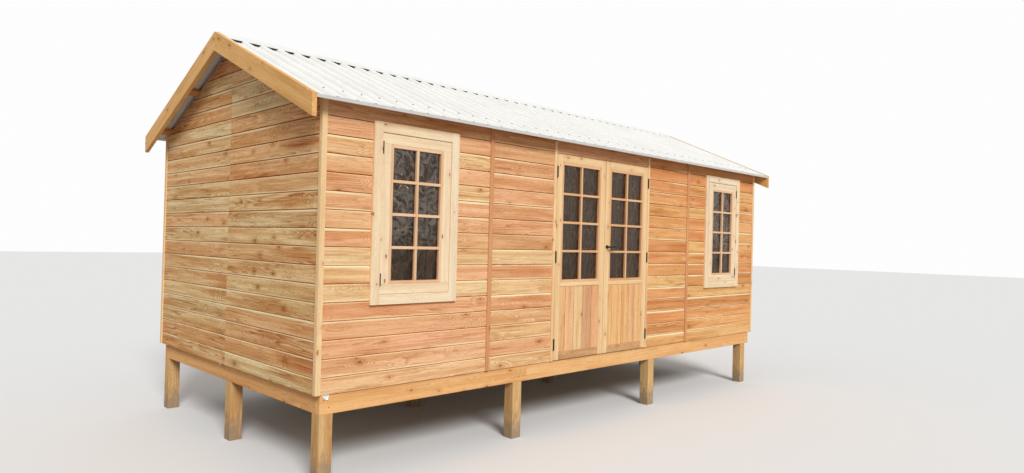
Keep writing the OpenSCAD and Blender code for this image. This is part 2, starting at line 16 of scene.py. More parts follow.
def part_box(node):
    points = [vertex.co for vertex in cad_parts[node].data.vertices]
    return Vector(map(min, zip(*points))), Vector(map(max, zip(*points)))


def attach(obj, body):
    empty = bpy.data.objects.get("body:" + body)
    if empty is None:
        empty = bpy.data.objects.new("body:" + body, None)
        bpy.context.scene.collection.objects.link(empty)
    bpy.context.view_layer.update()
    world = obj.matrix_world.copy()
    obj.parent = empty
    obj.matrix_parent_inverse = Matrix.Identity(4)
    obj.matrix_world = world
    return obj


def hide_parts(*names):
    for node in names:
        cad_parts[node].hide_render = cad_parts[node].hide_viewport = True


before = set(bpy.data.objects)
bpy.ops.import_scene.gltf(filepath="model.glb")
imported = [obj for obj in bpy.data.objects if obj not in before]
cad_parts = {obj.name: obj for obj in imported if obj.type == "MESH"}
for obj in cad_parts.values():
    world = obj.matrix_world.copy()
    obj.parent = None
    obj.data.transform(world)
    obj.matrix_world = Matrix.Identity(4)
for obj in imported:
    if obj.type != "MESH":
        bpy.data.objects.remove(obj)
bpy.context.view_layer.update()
dice = random.Random(41)

# %% [markdown]
# ## The camera
#
# The photograph was taken with a short lens from the front left corner, a little above head height
# seen from the ground. The camera's place and turn were solved from corners of the walls, doors and
# roof, so the render can be laid over the photograph. A camera looks straight down before it is
# turned, so it is rolled, raised to the horizon and turned towards the building, in that order.

# %% Place the camera
PHOTO_WIDTH = 1024
FOCAL_PIXELS = 703.16
SENSOR = 36.0
CAMERA_PLACE = Vector((-5.5384, -5.8306, 1.7099))
CAMERA_YAW = radians(44.598)
CAMERA_PITCH = radians(0.471)
CAMERA_ROLL = radians(1.495)


def stand(name, data):
    """Puts a camera, a lamp or a mesh in the scene."""
    thing = bpy.data.objects.new(name, data)
    bpy.context.scene.collection.objects.link(thing)
    return thing


lens = bpy.data.cameras.new("photo_camera")
lens.sensor_width = SENSOR
lens.lens = FOCAL_PIXELS / PHOTO_WIDTH * SENSOR
camera = stand("photo_camera", lens)
camera.matrix_world = (
    Matrix.Translation(CAMERA_PLACE) @ Matrix.Rotation(-CAMERA_YAW, 4, "Z")
    @ Matrix.Rotation(pi / 2 + CAMERA_PITCH, 4, "X") @ Matrix.Rotation(CAMERA_ROLL, 4, "Z"))
bpy.context.scene.camera = camera
print("lens", round(lens.lens, 2), "mm")

# %% [markdown]
# ## Shader helpers
#
# Every finish is a short chain of shader nodes. One class adds nodes to a tree and links them, so
# that a finish reads like a sum. A group is a shared effect: it takes numbers and colours from a
# finish and gives colours, masks and heights back.

# %% Helpers for shader nodes
class Shader:
    """Adds nodes to one tree. A value is a number, a colour or a socket of another node."""

    def __init__(self, tree):
        self.tree = tree

    def node(self, kind, values=None, **settings):
        made = self.tree.nodes.new(kind)
        for key, value in settings.items():
            setattr(made, key, value)
        for key, value in (values or {}).items():
            if isinstance(value, bpy.types.NodeSocket):
                self.tree.links.new(value, made.inputs[key])
            else:
                made.inputs[key].default_value = value
        return made

    def maths(self, operation, *values):
        return self.node("ShaderNodeMath", dict(enumerate(values)), operation=operation).outputs[0]

    def plus(self, first, second):
        return self.maths("ADD", first, second)

    def minus(self, first, second):
        return self.maths("SUBTRACT", first, second)

    def times(self, first, *others):
        for other in others:
            first = self.maths("MULTIPLY", first, other)
        return first

    def stretch(self, vector, scale):
        return self.node("ShaderNodeVectorMath", {0: vector, 1: scale}, operation="MULTIPLY").outputs[0]

    def part(self, vector, axis):
        return self.node("ShaderNodeSeparateXYZ", {0: vector}).outputs[axis]

    def place(self):
        return self.node("ShaderNodeTexCoord").outputs["Object"]

    def written(self, layer, kind="Fac"):
        """What was written on the mesh's points."""
        return self.node("ShaderNodeAttribute", attribute_name=layer).outputs[kind]

    def fade(self, value, start, end):
        """Runs smoothly from 0 at start to 1 at end, and start may be the larger."""
        return self.node("ShaderNodeMapRange", {"Value": value, "From Min": start, "From Max": end},
                         interpolation_type="SMOOTHSTEP").outputs[0]

    def noise(self, vector, scales, detail=2.0, rough=0.5, bend=0.0):
        """Noise with its own scale along the board and across it."""
        return self.node("ShaderNodeTexNoise", {
            "Vector": self.stretch(vector, scales), "Scale": 1.0, "Detail": detail, "Roughness": rough,
            "Distortion": bend}).outputs[0]

    def mix(self, factor, first, second, blend="MIX"):
        """Lays the second colour over the first."""
        return self.node("ShaderNodeMix", {0: factor, 6: first, 7: second},
                         data_type="RGBA", blend_type=blend).outputs[2]

    def shared(self, group, values):
        return self.node("ShaderNodeGroup", values, node_tree=group.tree).outputs

    def bump(self, height, distance, strength):
        values = {"Height": height, "Distance": distance, "Strength": strength}
        return self.node("ShaderNodeBump", values).outputs[0]

    def surface(self, values):
        """Ends a material in one principled shader."""
        shader = self.node("ShaderNodeBsdfPrincipled", values)
        self.node("ShaderNodeOutputMaterial", {"Surface": shader.outputs[0]})


print("shader class ready")

# %% Start a finish or a group
KINDS = {float: "NodeSocketFloat", tuple: "NodeSocketColor", str: "NodeSocketVector"}
WHITE = (1.0, 1.0, 1.0, 1.0)
finishes = {}


def shader_of(owner):
    """An empty shader for a material or the world."""
    owner.use_nodes = True
    owner.node_tree.nodes.clear()
    return Shader(owner.node_tree)


def new_finish(name):
    finishes[name] = bpy.data.materials.new(name)
    return shader_of(finishes[name])


def new_group(name, takes, gives):
    """A shader group and its given values. Inputs are listed with defaults, outputs with samples."""
    group = Shader(bpy.data.node_groups.new(name, "ShaderNodeTree"))
    for way, sockets in (("INPUT", takes), ("OUTPUT", gives)):
        for label, value in sockets.items():
            made = group.tree.interface.new_socket(name=label, in_out=way, socket_type=KINDS[type(value)])
            if way == "INPUT" and not isinstance(value, str):
                made.default_value = value
    return group, group.node("NodeGroupInput").outputs


print("socket kinds:", len(KINDS))

# %% [markdown]
# ## Floor and light
#
# The building stands on a plain pale floor. A broad, soft sun from the front left gives the front
# more light than the gable, as in the photograph, and an even sky fills the shade. The world is
# white, and the floor pale, only for what the camera, a reflection or a pane sees. The building is
# lit by a dimmer sky and a darker floor.

# %% Lay the floor
FLOOR_SIZE = 120.0


def seen_directly(shader):
    """A value of 1 for rays that show a background: camera, mirror and pane rays."""
    path = shader.node("ShaderNodeLightPath").outputs
    mirrored = shader.maths("MAXIMUM", path["Is Camera Ray"], path["Is Glossy Ray"])
    return shader.maths("MAXIMUM", mirrored, path["Is Transmission Ray"])


pale = new_finish("pale_floor")
paint = pale.mix(seen_directly(pale), (0.34, 0.33, 0.32, 1), (0.88, 0.88, 0.87, 1))
matt = pale.node("ShaderNodeBsdfDiffuse", {"Color": paint})
pale.node("ShaderNodeOutputMaterial", {"Surface": matt.outputs[0]})

ground = bmesh.new()
bmesh.ops.create_grid(ground, x_segments=1, y_segments=1, size=FLOOR_SIZE / 2)
ground_mesh = bpy.data.meshes.new("floor")
ground.to_mesh(ground_mesh)
ground.free()
ground_mesh.materials.append(finishes["pale_floor"])
stand("floor", ground_mesh)
print("floor", FLOOR_SIZE, "m square")

# %% Hang the lights
SUN_STRENGTH = 2.43
SUN_SOFTNESS = radians(20)
SUN_AZIMUTH = radians(-24)
SUN_HEIGHT = radians(34)
SKY_FILL = 0.48
SKY_WHITE = (0.985, 0.985, 0.985, 1)

lamp = bpy.data.lights.new("soft_sun", "SUN")
lamp.energy = SUN_STRENGTH
lamp.angle = SUN_SOFTNESS
stand("soft_sun", lamp).rotation_euler = (pi / 2 - SUN_HEIGHT, 0, SUN_AZIMUTH)

world = bpy.data.worlds.new("sky")
bpy.context.scene.world = world
sky = shader_of(world)
strength = sky.node("ShaderNodeMix", {0: seen_directly(sky), 2: SKY_FILL, 3: 1.0})
background = sky.node("ShaderNodeBackground", {"Color": SKY_WHITE, "Strength": strength.outputs[0]})
sky.node("ShaderNodeOutputWorld", {"Surface": background.outputs[0]})
bpy.context.scene.view_settings.view_transform = "Standard"
print("sun", SUN_STRENGTH, "sky", SKY_FILL)

# %% [markdown]
# ## The grain of the timber
#
# All the timber shares one shader group. It reads a point that runs along the board in X and across
# it in Y and Z. Growth rings are the contour lines of a smooth noise that is stretched along the
# board, which gives the long flames of a flat-sawn board. They are strong in some places and faint
# in others. Narrow streaks and broad patches of heartwood run along the board too. A few cells of a
# Voronoi texture become knots with a darker halo, and in some cells the rings bend into an eye.
# Each material gives the group its own clean colour and says how deep the rings and streaks go.

# %% Build the timber group
KNOT_SIZE = 0.006
KNOT_RAGGED = 0.010
KNOT_EDGE = (0.0065, 0.0020)
HALO_EDGE = (0.036, 0.003)
EYE_REACH = 0.075
EYE_BEND = 0.24

grain, given = new_group("timber", {
    "Board point": "point", "Clean colour": (0.9, 0.6, 0.3, 1.0), "Knot colour": (0.2, 0.1, 0.05, 1.0),
    "Ring count": 16.0, "Ring depth": 0.6, "Streak depth": 0.6, "Knot chance": 0.25, "Knot spacing": 0.16},
    {"Colour": WHITE, "Fibres": 0.0, "Height": 0.0})
point, spacing = given["Board point"], given["Knot spacing"]
cells = grain.node("ShaderNodeTexVoronoi", {
    "Vector": grain.stretch(point, (0.5, 1, 1)), "Scale": grain.maths("DIVIDE", 1.0, spacing)},
    voronoi_dimensions="2D")
drawn = grain.node("ShaderNodeSeparateColor", {"Color": cells.outputs["Color"]}).outputs
has_knot = grain.maths("LESS_THAN", drawn[0], given["Knot chance"])
from_knot = grain.times(cells.outputs["Distance"], spacing)
ragged = grain.minus(grain.noise(point, (60, 90, 90)), 0.5)
knot_size = grain.plus(grain.times(drawn[1], KNOT_SIZE), grain.times(ragged, KNOT_RAGGED))
from_rim = grain.minus(from_knot, knot_size)
knots = grain.times(grain.fade(from_rim, *KNOT_EDGE), has_knot)
halo = grain.times(grain.fade(from_rim, *HALO_EDGE), has_knot)

eye = grain.times(grain.fade(from_knot, EYE_REACH, 0.0), grain.fade(drawn[2], 0.40, 0.10))
bent = grain.plus(grain.noise(point, (0.55, 13, 13), rough=0.40), grain.times(eye, EYE_BEND))
rings = grain.maths("FRACT", grain.times(bent, given["Ring count"]))
rings = grain.times(grain.maths("POWER", rings, 1.6), grain.fade(rings, 1.0, 0.90))
flame = grain.maths("MAXIMUM", grain.fade(grain.noise(point, (1.1, 6, 6)), 0.42, 0.62), eye)
rings = grain.times(rings, grain.plus(grain.times(flame, 0.6), 0.4))
streaks = grain.fade(grain.noise(point, (0.7, 26, 26), detail=3.0), 0.38, 0.66)
heart = grain.fade(grain.noise(point, (0.8, 8, 8)), 0.52, 0.68)
flecks = grain.fade(grain.noise(point, (22, 190, 190), detail=1.0), 0.56, 0.70)
fibres = grain.noise(point, (5, 420, 420), detail=3.0)
height = grain.minus(grain.times(fibres, 0.8), grain.times(rings, 0.5))

colour, ring_depth, streak_depth = given["Clean colour"], given["Ring depth"], given["Streak depth"]
for mask, depth, tint in (
        (streaks, streak_depth, (0.84, 0.72, 0.60, 1)),
        (heart, streak_depth, (0.86, 0.70, 0.58, 1)),
        (rings, ring_depth, (0.56, 0.40, 0.27, 1)),
        (flecks, grain.times(ring_depth, 0.5), (0.64, 0.48, 0.36, 1)),
        (halo, grain.times(ring_depth, 0.65), (0.72, 0.50, 0.33, 1)),
        (grain.fade(fibres, 0.5, 0.75), 0.22, (0.55, 0.40, 0.28, 1))):
    colour = grain.mix(grain.times(mask, depth), colour, tint, "MULTIPLY")
colour = grain.mix(grain.times(knots, 0.92), colour, given["Knot colour"])
grain.node("NodeGroupOutput", {"Colour": colour, "Fibres": fibres, "Height": height})
print("timber group with", len(grain.tree.nodes), "nodes")

# %% [markdown]
# ## Edges and soil
#
# Two more groups change a timber's colour. The sloped upper edge of a board gets a painted highlight:
# it is paler where it faces up, and the edge that faces down gets painted shade. Some boards keep a
# strip of cream sapwood along one edge. It comes from the rise, which is each point's height above the
# foot of its board. Near the ground the timber is soiled, and the soil ends in ragged patches.

# %% Build the edge group
COVER = 0.129
SAPWOOD_EDGE = (0.020, 0.008)
SAPWOOD_WAVER = 0.020
SAPWOOD_DEPTH = 0.85

edges, given = new_group("board_edges", {
    "Colour": WHITE, "Board point": "point", "Rise": COVER / 2, "Painted highlight": 1.0}, {"Colour": WHITE})
point, rise = given["Board point"], given["Rise"]
facing = edges.part(edges.node("ShaderNodeNewGeometry").outputs["Normal"], 2)
# Painted highlight: faces that look up are made paler, as if they caught the light.
painted_highlight = edges.times(edges.fade(facing, 0.3, 0.6), given["Painted highlight"])
colour = edges.mix(painted_highlight, given["Colour"], (1.0, 0.86, 0.54, 1))
waver = edges.times(edges.minus(edges.noise(point, (2, 9, 9)), 0.5), SAPWOOD_WAVER)
for from_edge, scales in ((rise, (0.30, 0.50, 0.70)), (edges.minus(COVER, rise), (0.35, 0.70, 0.45))):
    band = edges.fade(edges.plus(from_edge, waver), *SAPWOOD_EDGE)
    chosen = edges.fade(edges.noise(point, scales), 0.49, 0.60)
    colour = edges.mix(edges.times(band, chosen, SAPWOOD_DEPTH), colour, (1.0, 0.83, 0.50, 1))
# Painted shade: faces that look down are multiplied browner.
colour = edges.mix(edges.fade(facing, -0.3, -0.6), colour, (0.44, 0.22, 0.10, 1), "MULTIPLY")
edges.node("NodeGroupOutput", {"Colour": colour})
print("edge group with", len(edges.tree.nodes), "nodes")

# %% Build the soil group
soil, given = new_group("soil", {
    "Colour": WHITE, "Board point": "point", "Clean height": 0.3, "Soiled height": 0.0, "Amount": 0.8},
    {"Colour": WHITE})
patches = soil.minus(soil.noise(given["Board point"], (18, 26, 26), detail=4.0), 0.5)
reach = soil.plus(soil.part(soil.place(), 2), soil.times(patches, 0.45))
soiled = soil.times(soil.fade(reach, given["Clean height"], given["Soiled height"]), given["Amount"])
soil.node("NodeGroupOutput", {"Colour": soil.mix(soiled, given["Colour"], (0.36, 0.26, 0.17, 1))})
print("soil group with", len(soil.tree.nodes), "nodes")

# %% [markdown]
# ## The timber finishes
#
# A bundle of cladding is never one colour: some boards are straw, some honey and some pink-brown.
# Each board carries a number called tone, and a colour ramp turns it into the board's own colour.
# Boards that are laid here carry their own board point too. CAD nodes have neither, so for them the
# point comes from Object coordinates, turned so that X runs along the timber.

# %% Helpers for timber finishes
CEDAR_KNOT = (0.32, 0.14, 0.045)
PINE_KNOT = (0.52, 0.22, 0.09)
TURNED = {"X": (0, 0, 0), "Y": (0, 0, -pi / 2)}


def board_point_and_tone(wood, along):
    """The point and the tone of a laid board, or of a CAD node whose timber runs along one axis."""
    if along is None:
        return wood.written("board_point", "Vector"), wood.written("tone")
    point = wood.node("ShaderNodeMapping", {"Vector": wood.place(), "Rotation": TURNED[along]}).outputs[0]
    return point, wood.noise(point, (0.2, 3, 3))


def tone_ramp(wood, tone, tones):
    ramp = wood.node("ShaderNodeValToRGB", {"Fac": tone})
    while len(ramp.color_ramp.elements) < len(tones):
        ramp.color_ramp.elements.new(0.5)
    for index, colour in enumerate(tones):
        element = ramp.color_ramp.elements[index]
        element.position = index / (len(tones) - 1)
        element.color = (*colour, 1)
    return ramp.outputs[0]


def timber_finish(name, tones, along=None, rings=16.0, ring_depth=0.6, knots=0.25, spacing=0.16, rough=0.62,
                  streak=0.6, knot_colour=CEDAR_KNOT, dirt=None, edges_and_painted_highlight=0.0):
    """A timber finish. Dirt is a clean height, a soiled height and an amount."""
    wood = new_finish(name)
    point, tone = board_point_and_tone(wood, along)
    figure = wood.shared(grain, {
        "Board point": point, "Clean colour": tone_ramp(wood, tone, tones), "Knot colour": (*knot_colour, 1),
        "Ring count": rings, "Ring depth": ring_depth, "Streak depth": streak, "Knot chance": knots,
        "Knot spacing": spacing})
    colour = figure["Colour"]
    # The edge group paints a highlight on edges that face up and shade on edges that face down, and adds
    # sapwood.
    if edges_and_painted_highlight:
        colour = wood.shared(edges, {"Colour": colour, "Board point": point, "Rise": wood.written("rise"),
                                     "Painted highlight": edges_and_painted_highlight})["Colour"]
    if dirt:
        clean, soiled, amount = dirt
        colour = wood.shared(soil, {"Colour": colour, "Board point": point, "Clean height": clean,
                                    "Soiled height": soiled, "Amount": amount})["Colour"]
    wood.surface({"Base Color": colour, "Normal": wood.bump(figure["Height"], 0.0006, 0.5),
                  "Roughness": wood.maths("MULTIPLY_ADD", figure["Fibres"], 0.14, rough - 0.07),
                  "Specular IOR Level": 0.10})


print("timber tones are turned along", *TURNED)

# %% Mix the finishes of the boards
# The last number is the share of painted highlight on the upper edge of each board.
WALL_BOARD = {"ring_depth": 0.9, "streak": 0.9, "knots": 0.20, "edges_and_painted_highlight": 0.5}
timber_finish("cladding", [(0.98, 0.74, 0.43), (0.97, 0.65, 0.34), (0.98, 0.61, 0.34), (0.97, 0.54, 0.30),
                           (0.84, 0.48, 0.24)], **WALL_BOARD)
timber_finish("amber_cladding", [(0.95, 0.60, 0.26), (0.94, 0.53, 0.22), (0.94, 0.50, 0.21),
                                 (0.92, 0.44, 0.19), (0.80, 0.40, 0.15)], **WALL_BOARD)
timber_finish("gable_cladding", [(0.99, 0.79, 0.45), (0.99, 0.73, 0.38), (0.99, 0.61, 0.30),
                                 (0.94, 0.57, 0.27)], ring_depth=1.2, streak=1.4, knots=0.16, edges_and_painted_highlight=0.7)
timber_finish("door_boards", [(0.97, 0.72, 0.40), (0.97, 0.60, 0.27), (0.96, 0.61, 0.32), (0.95, 0.54, 0.28),
                              (0.80, 0.48, 0.29)], knots=0.12)
# A dark board behind the door's uprights, which is painted shade for the gaps between them.
timber_finish("tongue_painted_shade", [(0.42, 0.20, 0.09), (0.34, 0.16, 0.07)], ring_depth=0.4, knots=0.0)
print("board finishes mixed")

# %% Mix the finishes of trims and joinery
PLANED = {"streak": 0.5, "rough": 0.55}
PINE = {"streak": 0.5, "knot_colour": PINE_KNOT}
timber_finish("trim", [(0.98, 0.71, 0.40), (0.96, 0.64, 0.33)], ring_depth=0.35, knots=0.30,
              spacing=0.10, **PINE)
timber_finish("casing", [(0.99, 0.84, 0.61), (0.98, 0.78, 0.52)], ring_depth=0.30, knots=0.30, spacing=0.08,
              knot_colour=(0.40, 0.17, 0.07), **PLANED)
timber_finish("joint_strip", [(0.79, 0.42, 0.21), (0.72, 0.35, 0.16)], ring_depth=0.4, knots=0.05)
timber_finish("joinery", [(0.97, 0.70, 0.39), (0.94, 0.61, 0.31)], ring_depth=0.35, knots=0.40, spacing=0.09,
              rough=0.55, **PINE)
timber_finish("foot_rail", [(0.95, 0.60, 0.30), (0.90, 0.53, 0.26)], knots=0.5, spacing=0.08, rough=0.65,
              streak=0.8, knot_colour=PINE_KNOT, dirt=(0.78, 0.62, 0.40))
timber_finish("window_bead", [(0.95, 0.66, 0.43), (0.91, 0.59, 0.35)], ring_depth=0.25, knots=0.0, **PLANED)
# The door bead is the window bead made darker, which is painted shade.
timber_finish("door_bead_painted_shade", [(0.91, 0.58, 0.33), (0.84, 0.49, 0.25)], ring_depth=0.3, knots=0.0, **PLANED)
print("trim and joinery finishes mixed")

# %% Mix the finishes of the frame, the base and the roof timber
timber_finish("barge", [(0.97, 0.60, 0.25), (0.92, 0.54, 0.20)], rings=10.0, ring_depth=0.45, spacing=0.11,
              streak=0.5)
timber_finish("bearer", [(0.96, 0.57, 0.25), (0.93, 0.50, 0.20)], ring_depth=0.5, spacing=0.14, rough=0.7)
timber_finish("post", [(0.82, 0.55, 0.26), (0.76, 0.49, 0.22)], ring_depth=0.7, knots=0.2, rough=0.8,
              dirt=(0.26, 0.04, 0.85))
timber_finish("framing", [(0.80, 0.56, 0.31), (0.74, 0.48, 0.25)], ring_depth=0.4, knots=0.2, rough=0.7)
timber_finish("purlin", [(0.86, 0.48, 0.20), (0.80, 0.42, 0.17)], along="X", rough=0.7)
timber_finish("rafter", [(0.76, 0.52, 0.28), (0.70, 0.45, 0.23)], along="Y", rough=0.7)
timber_finish("deck", [(0.66, 0.50, 0.30), (0.60, 0.44, 0.25)], along="X", rings=6.0, ring_depth=0.3,
              knots=0.05, rough=0.75)
print("finishes so far:", len(finishes))

# %% [markdown]
# ## Steel and black metal
#
# The roof is coated steel, nearly white, with a satin gloss and a little dust. The
# hinges and the lever have a black powder coat, which is finely pebbled. One more group gives them
# all their dust and grit, and the sheets are greyer along the foot of each rib as well.

# %% Mix the plain finishes
speckle, given = new_group("speckle", {
    "Colour": WHITE, "Depth": 0.05, "Patch scale": 40.0, "Grit scale": 900.0},
    {"Colour": WHITE, "Dust": 0.0, "Grit": 0.0})
place = speckle.place()
dust, grit = (
    speckle.node("ShaderNodeTexNoise", {"Vector": place, "Scale": given[scale], "Detail": fine}).outputs[0]
    for scale, fine in (("Patch scale", 4.0), ("Grit scale", 2.0)))
dusty = speckle.times(speckle.fade(dust, 0.35, 0.70), given["Depth"])
speckle.node("NodeGroupOutput", {"Colour": speckle.mix(dusty, given["Colour"], (0, 0, 0, 1)), "Dust": dust,
                                 "Grit": grit})


def plain_finish(name, colour, rough, metal=0.0, depth=0.05, patch=40.0, grit=900.0, bump=0.00004, dirt=None):
    """A plain finish. Dirt is a function that gives the share of grey at each point."""
    coat = new_finish(name)
    spots = coat.shared(speckle, {
        "Colour": (*colour, 1), "Depth": depth, "Patch scale": patch, "Grit scale": grit})
    colour = coat.mix(dirt(coat), spots["Colour"], (0.42, 0.42, 0.40, 1)) if dirt else spots["Colour"]
    roughness = coat.maths("MULTIPLY_ADD", spots["Dust"], 0.2, rough - 0.1)
    coat.surface({"Base Color": colour, "Roughness": roughness, "Metallic": metal,
                  "Normal": coat.bump(spots["Grit"], bump, 0.6), "Specular IOR Level": 0.3})


plain_finish("roof_steel", (0.87, 0.86, 0.82), 0.55, depth=0.06, patch=3.0)
plain_finish("black_coat", (0.020, 0.017, 0.014), 0.50, depth=0.2)
plain_finish("zinc_screw", (0.34, 0.34, 0.33), 0.45, metal=0.8, depth=0.2)
plain_finish("nail_head", (0.20, 0.14, 0.10), 0.55, metal=0.6, depth=0.3)
# Near-black blocks that fill the open gaps under the ridge cap are painted shade.
plain_finish("cap_gap_painted_shade", (0.030, 0.030, 0.032), 0.90, depth=0.3, grit=400.0, bump=0.0005)
plain_finish("foil", (0.86, 0.87, 0.88), 0.30, metal=0.4, depth=0.1, grit=160.0, bump=0.002)
print("plain finishes mixed")

# %% Mix the finish of the ribbed sheets
RIB_PITCH, RIB_FOOT, RIB_CROWN, RIB_HEIGHT, SHEET = 0.152, 0.0546, 0.0266, 0.024, 0.002
first_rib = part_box("roof_sheet_back")[0].x


def grey_at_rib_feet(coat):
    """The share of grey, which is most at the foot of each rib."""
    from_rib = coat.maths("PINGPONG", coat.minus(coat.part(coat.place(), 0), first_rib), RIB_PITCH / 2)
    from_foot = coat.maths("ABSOLUTE", coat.minus(from_rib, RIB_FOOT / 2))
    return coat.times(coat.fade(from_foot, 0.014, 0.003), 0.22)


# The sheets are made greyer along the foot of each rib.
plain_finish("roof_sheet", (0.89, 0.88, 0.84), 0.55, depth=0.06, patch=3.0, dirt=grey_at_rib_feet)
print("ribbed sheet mixed, first rib at", round(first_rib, 3))

# %% [markdown]
# ## The glass
#
# The panes look nearly black, because the room behind them is dark and the glass has a dark brown
# tint. Upright waves in the tint let more or less of the room through. Pale patches in the upper rows
# and thin warped lines are painted reflection, laid on as a clear coat only there, and a warm specular
# tint paints the colour of the reflection. The doors have calmer glass than the windows, because it
# is seen against the wall when a door stands open.

# %% Mix the glass
PATCH_FOOT, PATCH_HEAD = 1.55, 1.80

waves_and_reflection, given = new_group("glass_waves_and_painted_reflection", {"Bands": 1.0, "Painted reflection patches": 0.5, "Reflection lines": 1.0},
                         {"Tint": WHITE, "Painted reflection": 0.0, "Height": 0.0})
place = waves_and_reflection.place()
flow = waves_and_reflection.noise(place, (7, 7, 2.2), detail=0.5, bend=0.8)
clear = waves_and_reflection.fade(waves_and_reflection.maths("PINGPONG", waves_and_reflection.times(flow, 6.0), 0.5), 0.16, 0.30)
band = waves_and_reflection.times(waves_and_reflection.minus(1.0, clear), given["Bands"])
tint = waves_and_reflection.mix(waves_and_reflection.minus(1.0, band), (0.16, 0.10, 0.055, 1), (0.62, 0.43, 0.26, 1))
# Painted reflection: pale coat patches fade in over the upper rows, and thin warped lines run below them.
upper = waves_and_reflection.fade(waves_and_reflection.part(place, 2), PATCH_FOOT, PATCH_HEAD)
swirl = waves_and_reflection.times(waves_and_reflection.noise(place, (6, 6, 8), detail=0.5, bend=1.2), 5.0)
patch = waves_and_reflection.times(waves_and_reflection.fade(waves_and_reflection.maths("PINGPONG", swirl, 0.5), 0.24, 0.29), upper)
line = waves_and_reflection.minus(waves_and_reflection.noise(place, (32, 32, 26), detail=1.5, bend=2.0), 0.5)
line = waves_and_reflection.fade(waves_and_reflection.maths("ABSOLUTE", line), 0.024, 0.006)
busy = waves_and_reflection.times(waves_and_reflection.minus(1.0, patch), waves_and_reflection.plus(waves_and_reflection.times(upper, 0.6), 0.3))
painted_reflection = waves_and_reflection.maths("MAXIMUM", waves_and_reflection.times(patch, given["Painted reflection patches"]),
                     waves_and_reflection.times(busy, given["Reflection lines"], line))
swell = waves_and_reflection.noise(place, (26, 26, 12), detail=3.0, bend=1.5)
waves_and_reflection.node("NodeGroupOutput", {"Tint": tint, "Painted reflection": painted_reflection, "Height": swell})

for name, bands, reflection_patches, reflection_lines in (("window_pane", 1.0, 0.42, 1.0), ("door_pane", 0.4, 0.05, 0.6)):
    pane = new_finish(name)
    sheet = pane.shared(waves_and_reflection, {"Bands": bands, "Painted reflection patches": reflection_patches, "Reflection lines": reflection_lines})
    # The coat weight lays on the painted reflection, and the warm specular tint paints its colour.
    pane.surface({"Base Color": sheet["Tint"], "Normal": pane.bump(sheet["Height"], 0.012, 1.0),
                  "Coat Weight": sheet["Painted reflection"], "Specular Tint": (1.0, 0.78, 0.55, 1), "Roughness": 0.05,
                  "IOR": 1.45, "Specular IOR Level": 0.12, "Transmission Weight": 1.0, "Coat IOR": 2.5,
                  "Coat Roughness": 0.15})
print("glass mixed")

# %% [markdown]
# ## How a board is made
#
# Almost everything wooden is a straight board with eased edges. A helper makes one as a cube
# between two stations on each axis, softens its edges with bevel, writes its board point and its
# tone, and adds it to a pile. A pile becomes one piece. The board point is written before the board
# is turned to its slope, so that the grain turns with it.

# %% Helpers for grain and piles
AXES = {"X": (0, 2, 1), "Y": (1, 2, 0), "Z": (2, 0, 1)}


def add_layers(shape):
    """Room for the board point, the tone and the rise of each vertex."""
    layers = shape.verts.layers
    return layers.float_vector.new("board_point"), layers.float.new("tone"), layers.float.new("rise")


def write_grain(board, along, tone, foot=None):
    """Gives each vertex its point along and across the board, shifted so that no two boards match."""
    spot, shade, rise = add_layers(board)
    shift = Vector([dice.uniform(0, 50) for _ in range(3)])
    order = AXES[along]
    for vertex in board.verts:
        vertex[spot] = Vector([vertex.co[axis] for axis in order]) + shift
        vertex[shade] = tone
        vertex[rise] = COVER / 2 if foot is None else vertex.co.z - foot


def new_pile():
    pile = bmesh.new()
    add_layers(pile)
    return pile


def add_to(pile, board):
    """Moves a finished board into a pile."""
    bmesh.ops.recalc_face_normals(board, faces=board.faces)
    scrap = bpy.data.meshes.new("scrap")
    board.to_mesh(scrap)
    board.free()
    pile.from_mesh(scrap)
    bpy.data.meshes.remove(scrap)


print("grain runs along", *AXES)

# %% Helpers for shapes
X, Z = Vector((1, 0, 0)), Vector((0, 0, 1))


def cut(board, point, outward):
    """Saws a board with a plane, drops what lies on the outward side and closes the end."""
    sawn = bmesh.ops.bisect_plane(board, geom=board.verts[:] + board.edges[:] + board.faces[:], dist=1e-6,
                                  plane_co=point, plane_no=outward, clear_outer=True)
    rim = [e for e in sawn["geom_cut"] if isinstance(e, bmesh.types.BMEdge)]
    if rim:
        bmesh.ops.holes_fill(board, edges=rim, sides=0)


def push_outline(points, push):
    """A solid whose end has the outline of the points and which is as long as the push."""
    solid = bmesh.new()
    end = solid.faces.new([solid.verts.new(point) for point in points])
    pushed = bmesh.ops.extrude_face_region(solid, geom=[end])
    moved = [v for v in pushed["geom"] if isinstance(v, bmesh.types.BMVert)]
    bmesh.ops.translate(solid, verts=moved, vec=push)
    bmesh.ops.recalc_face_normals(solid, faces=solid.faces)
    return solid


def at(point, angle=0.0, axis="Z"):
    """A place, and a turn about one axis there."""
    return Matrix.Translation(point) @ Matrix.Rotation(angle, 4, axis)


def cube(shape, place, size):
    bmesh.ops.create_cube(shape, size=1.0, matrix=place @ Matrix.Diagonal((*size, 1)))


def span(side, near, far):
    """Two stations on one side of the middle, the lower one first."""
    return sorted((side * near, side * far))


def centred(middle, width):
    """The two stations of a board of this width over a middle line."""
    return middle - width / 2, middle + width / 2


print("a span on the left:", span(-1, 1, 2))

# %% Lay a board
EASED = 0.0018


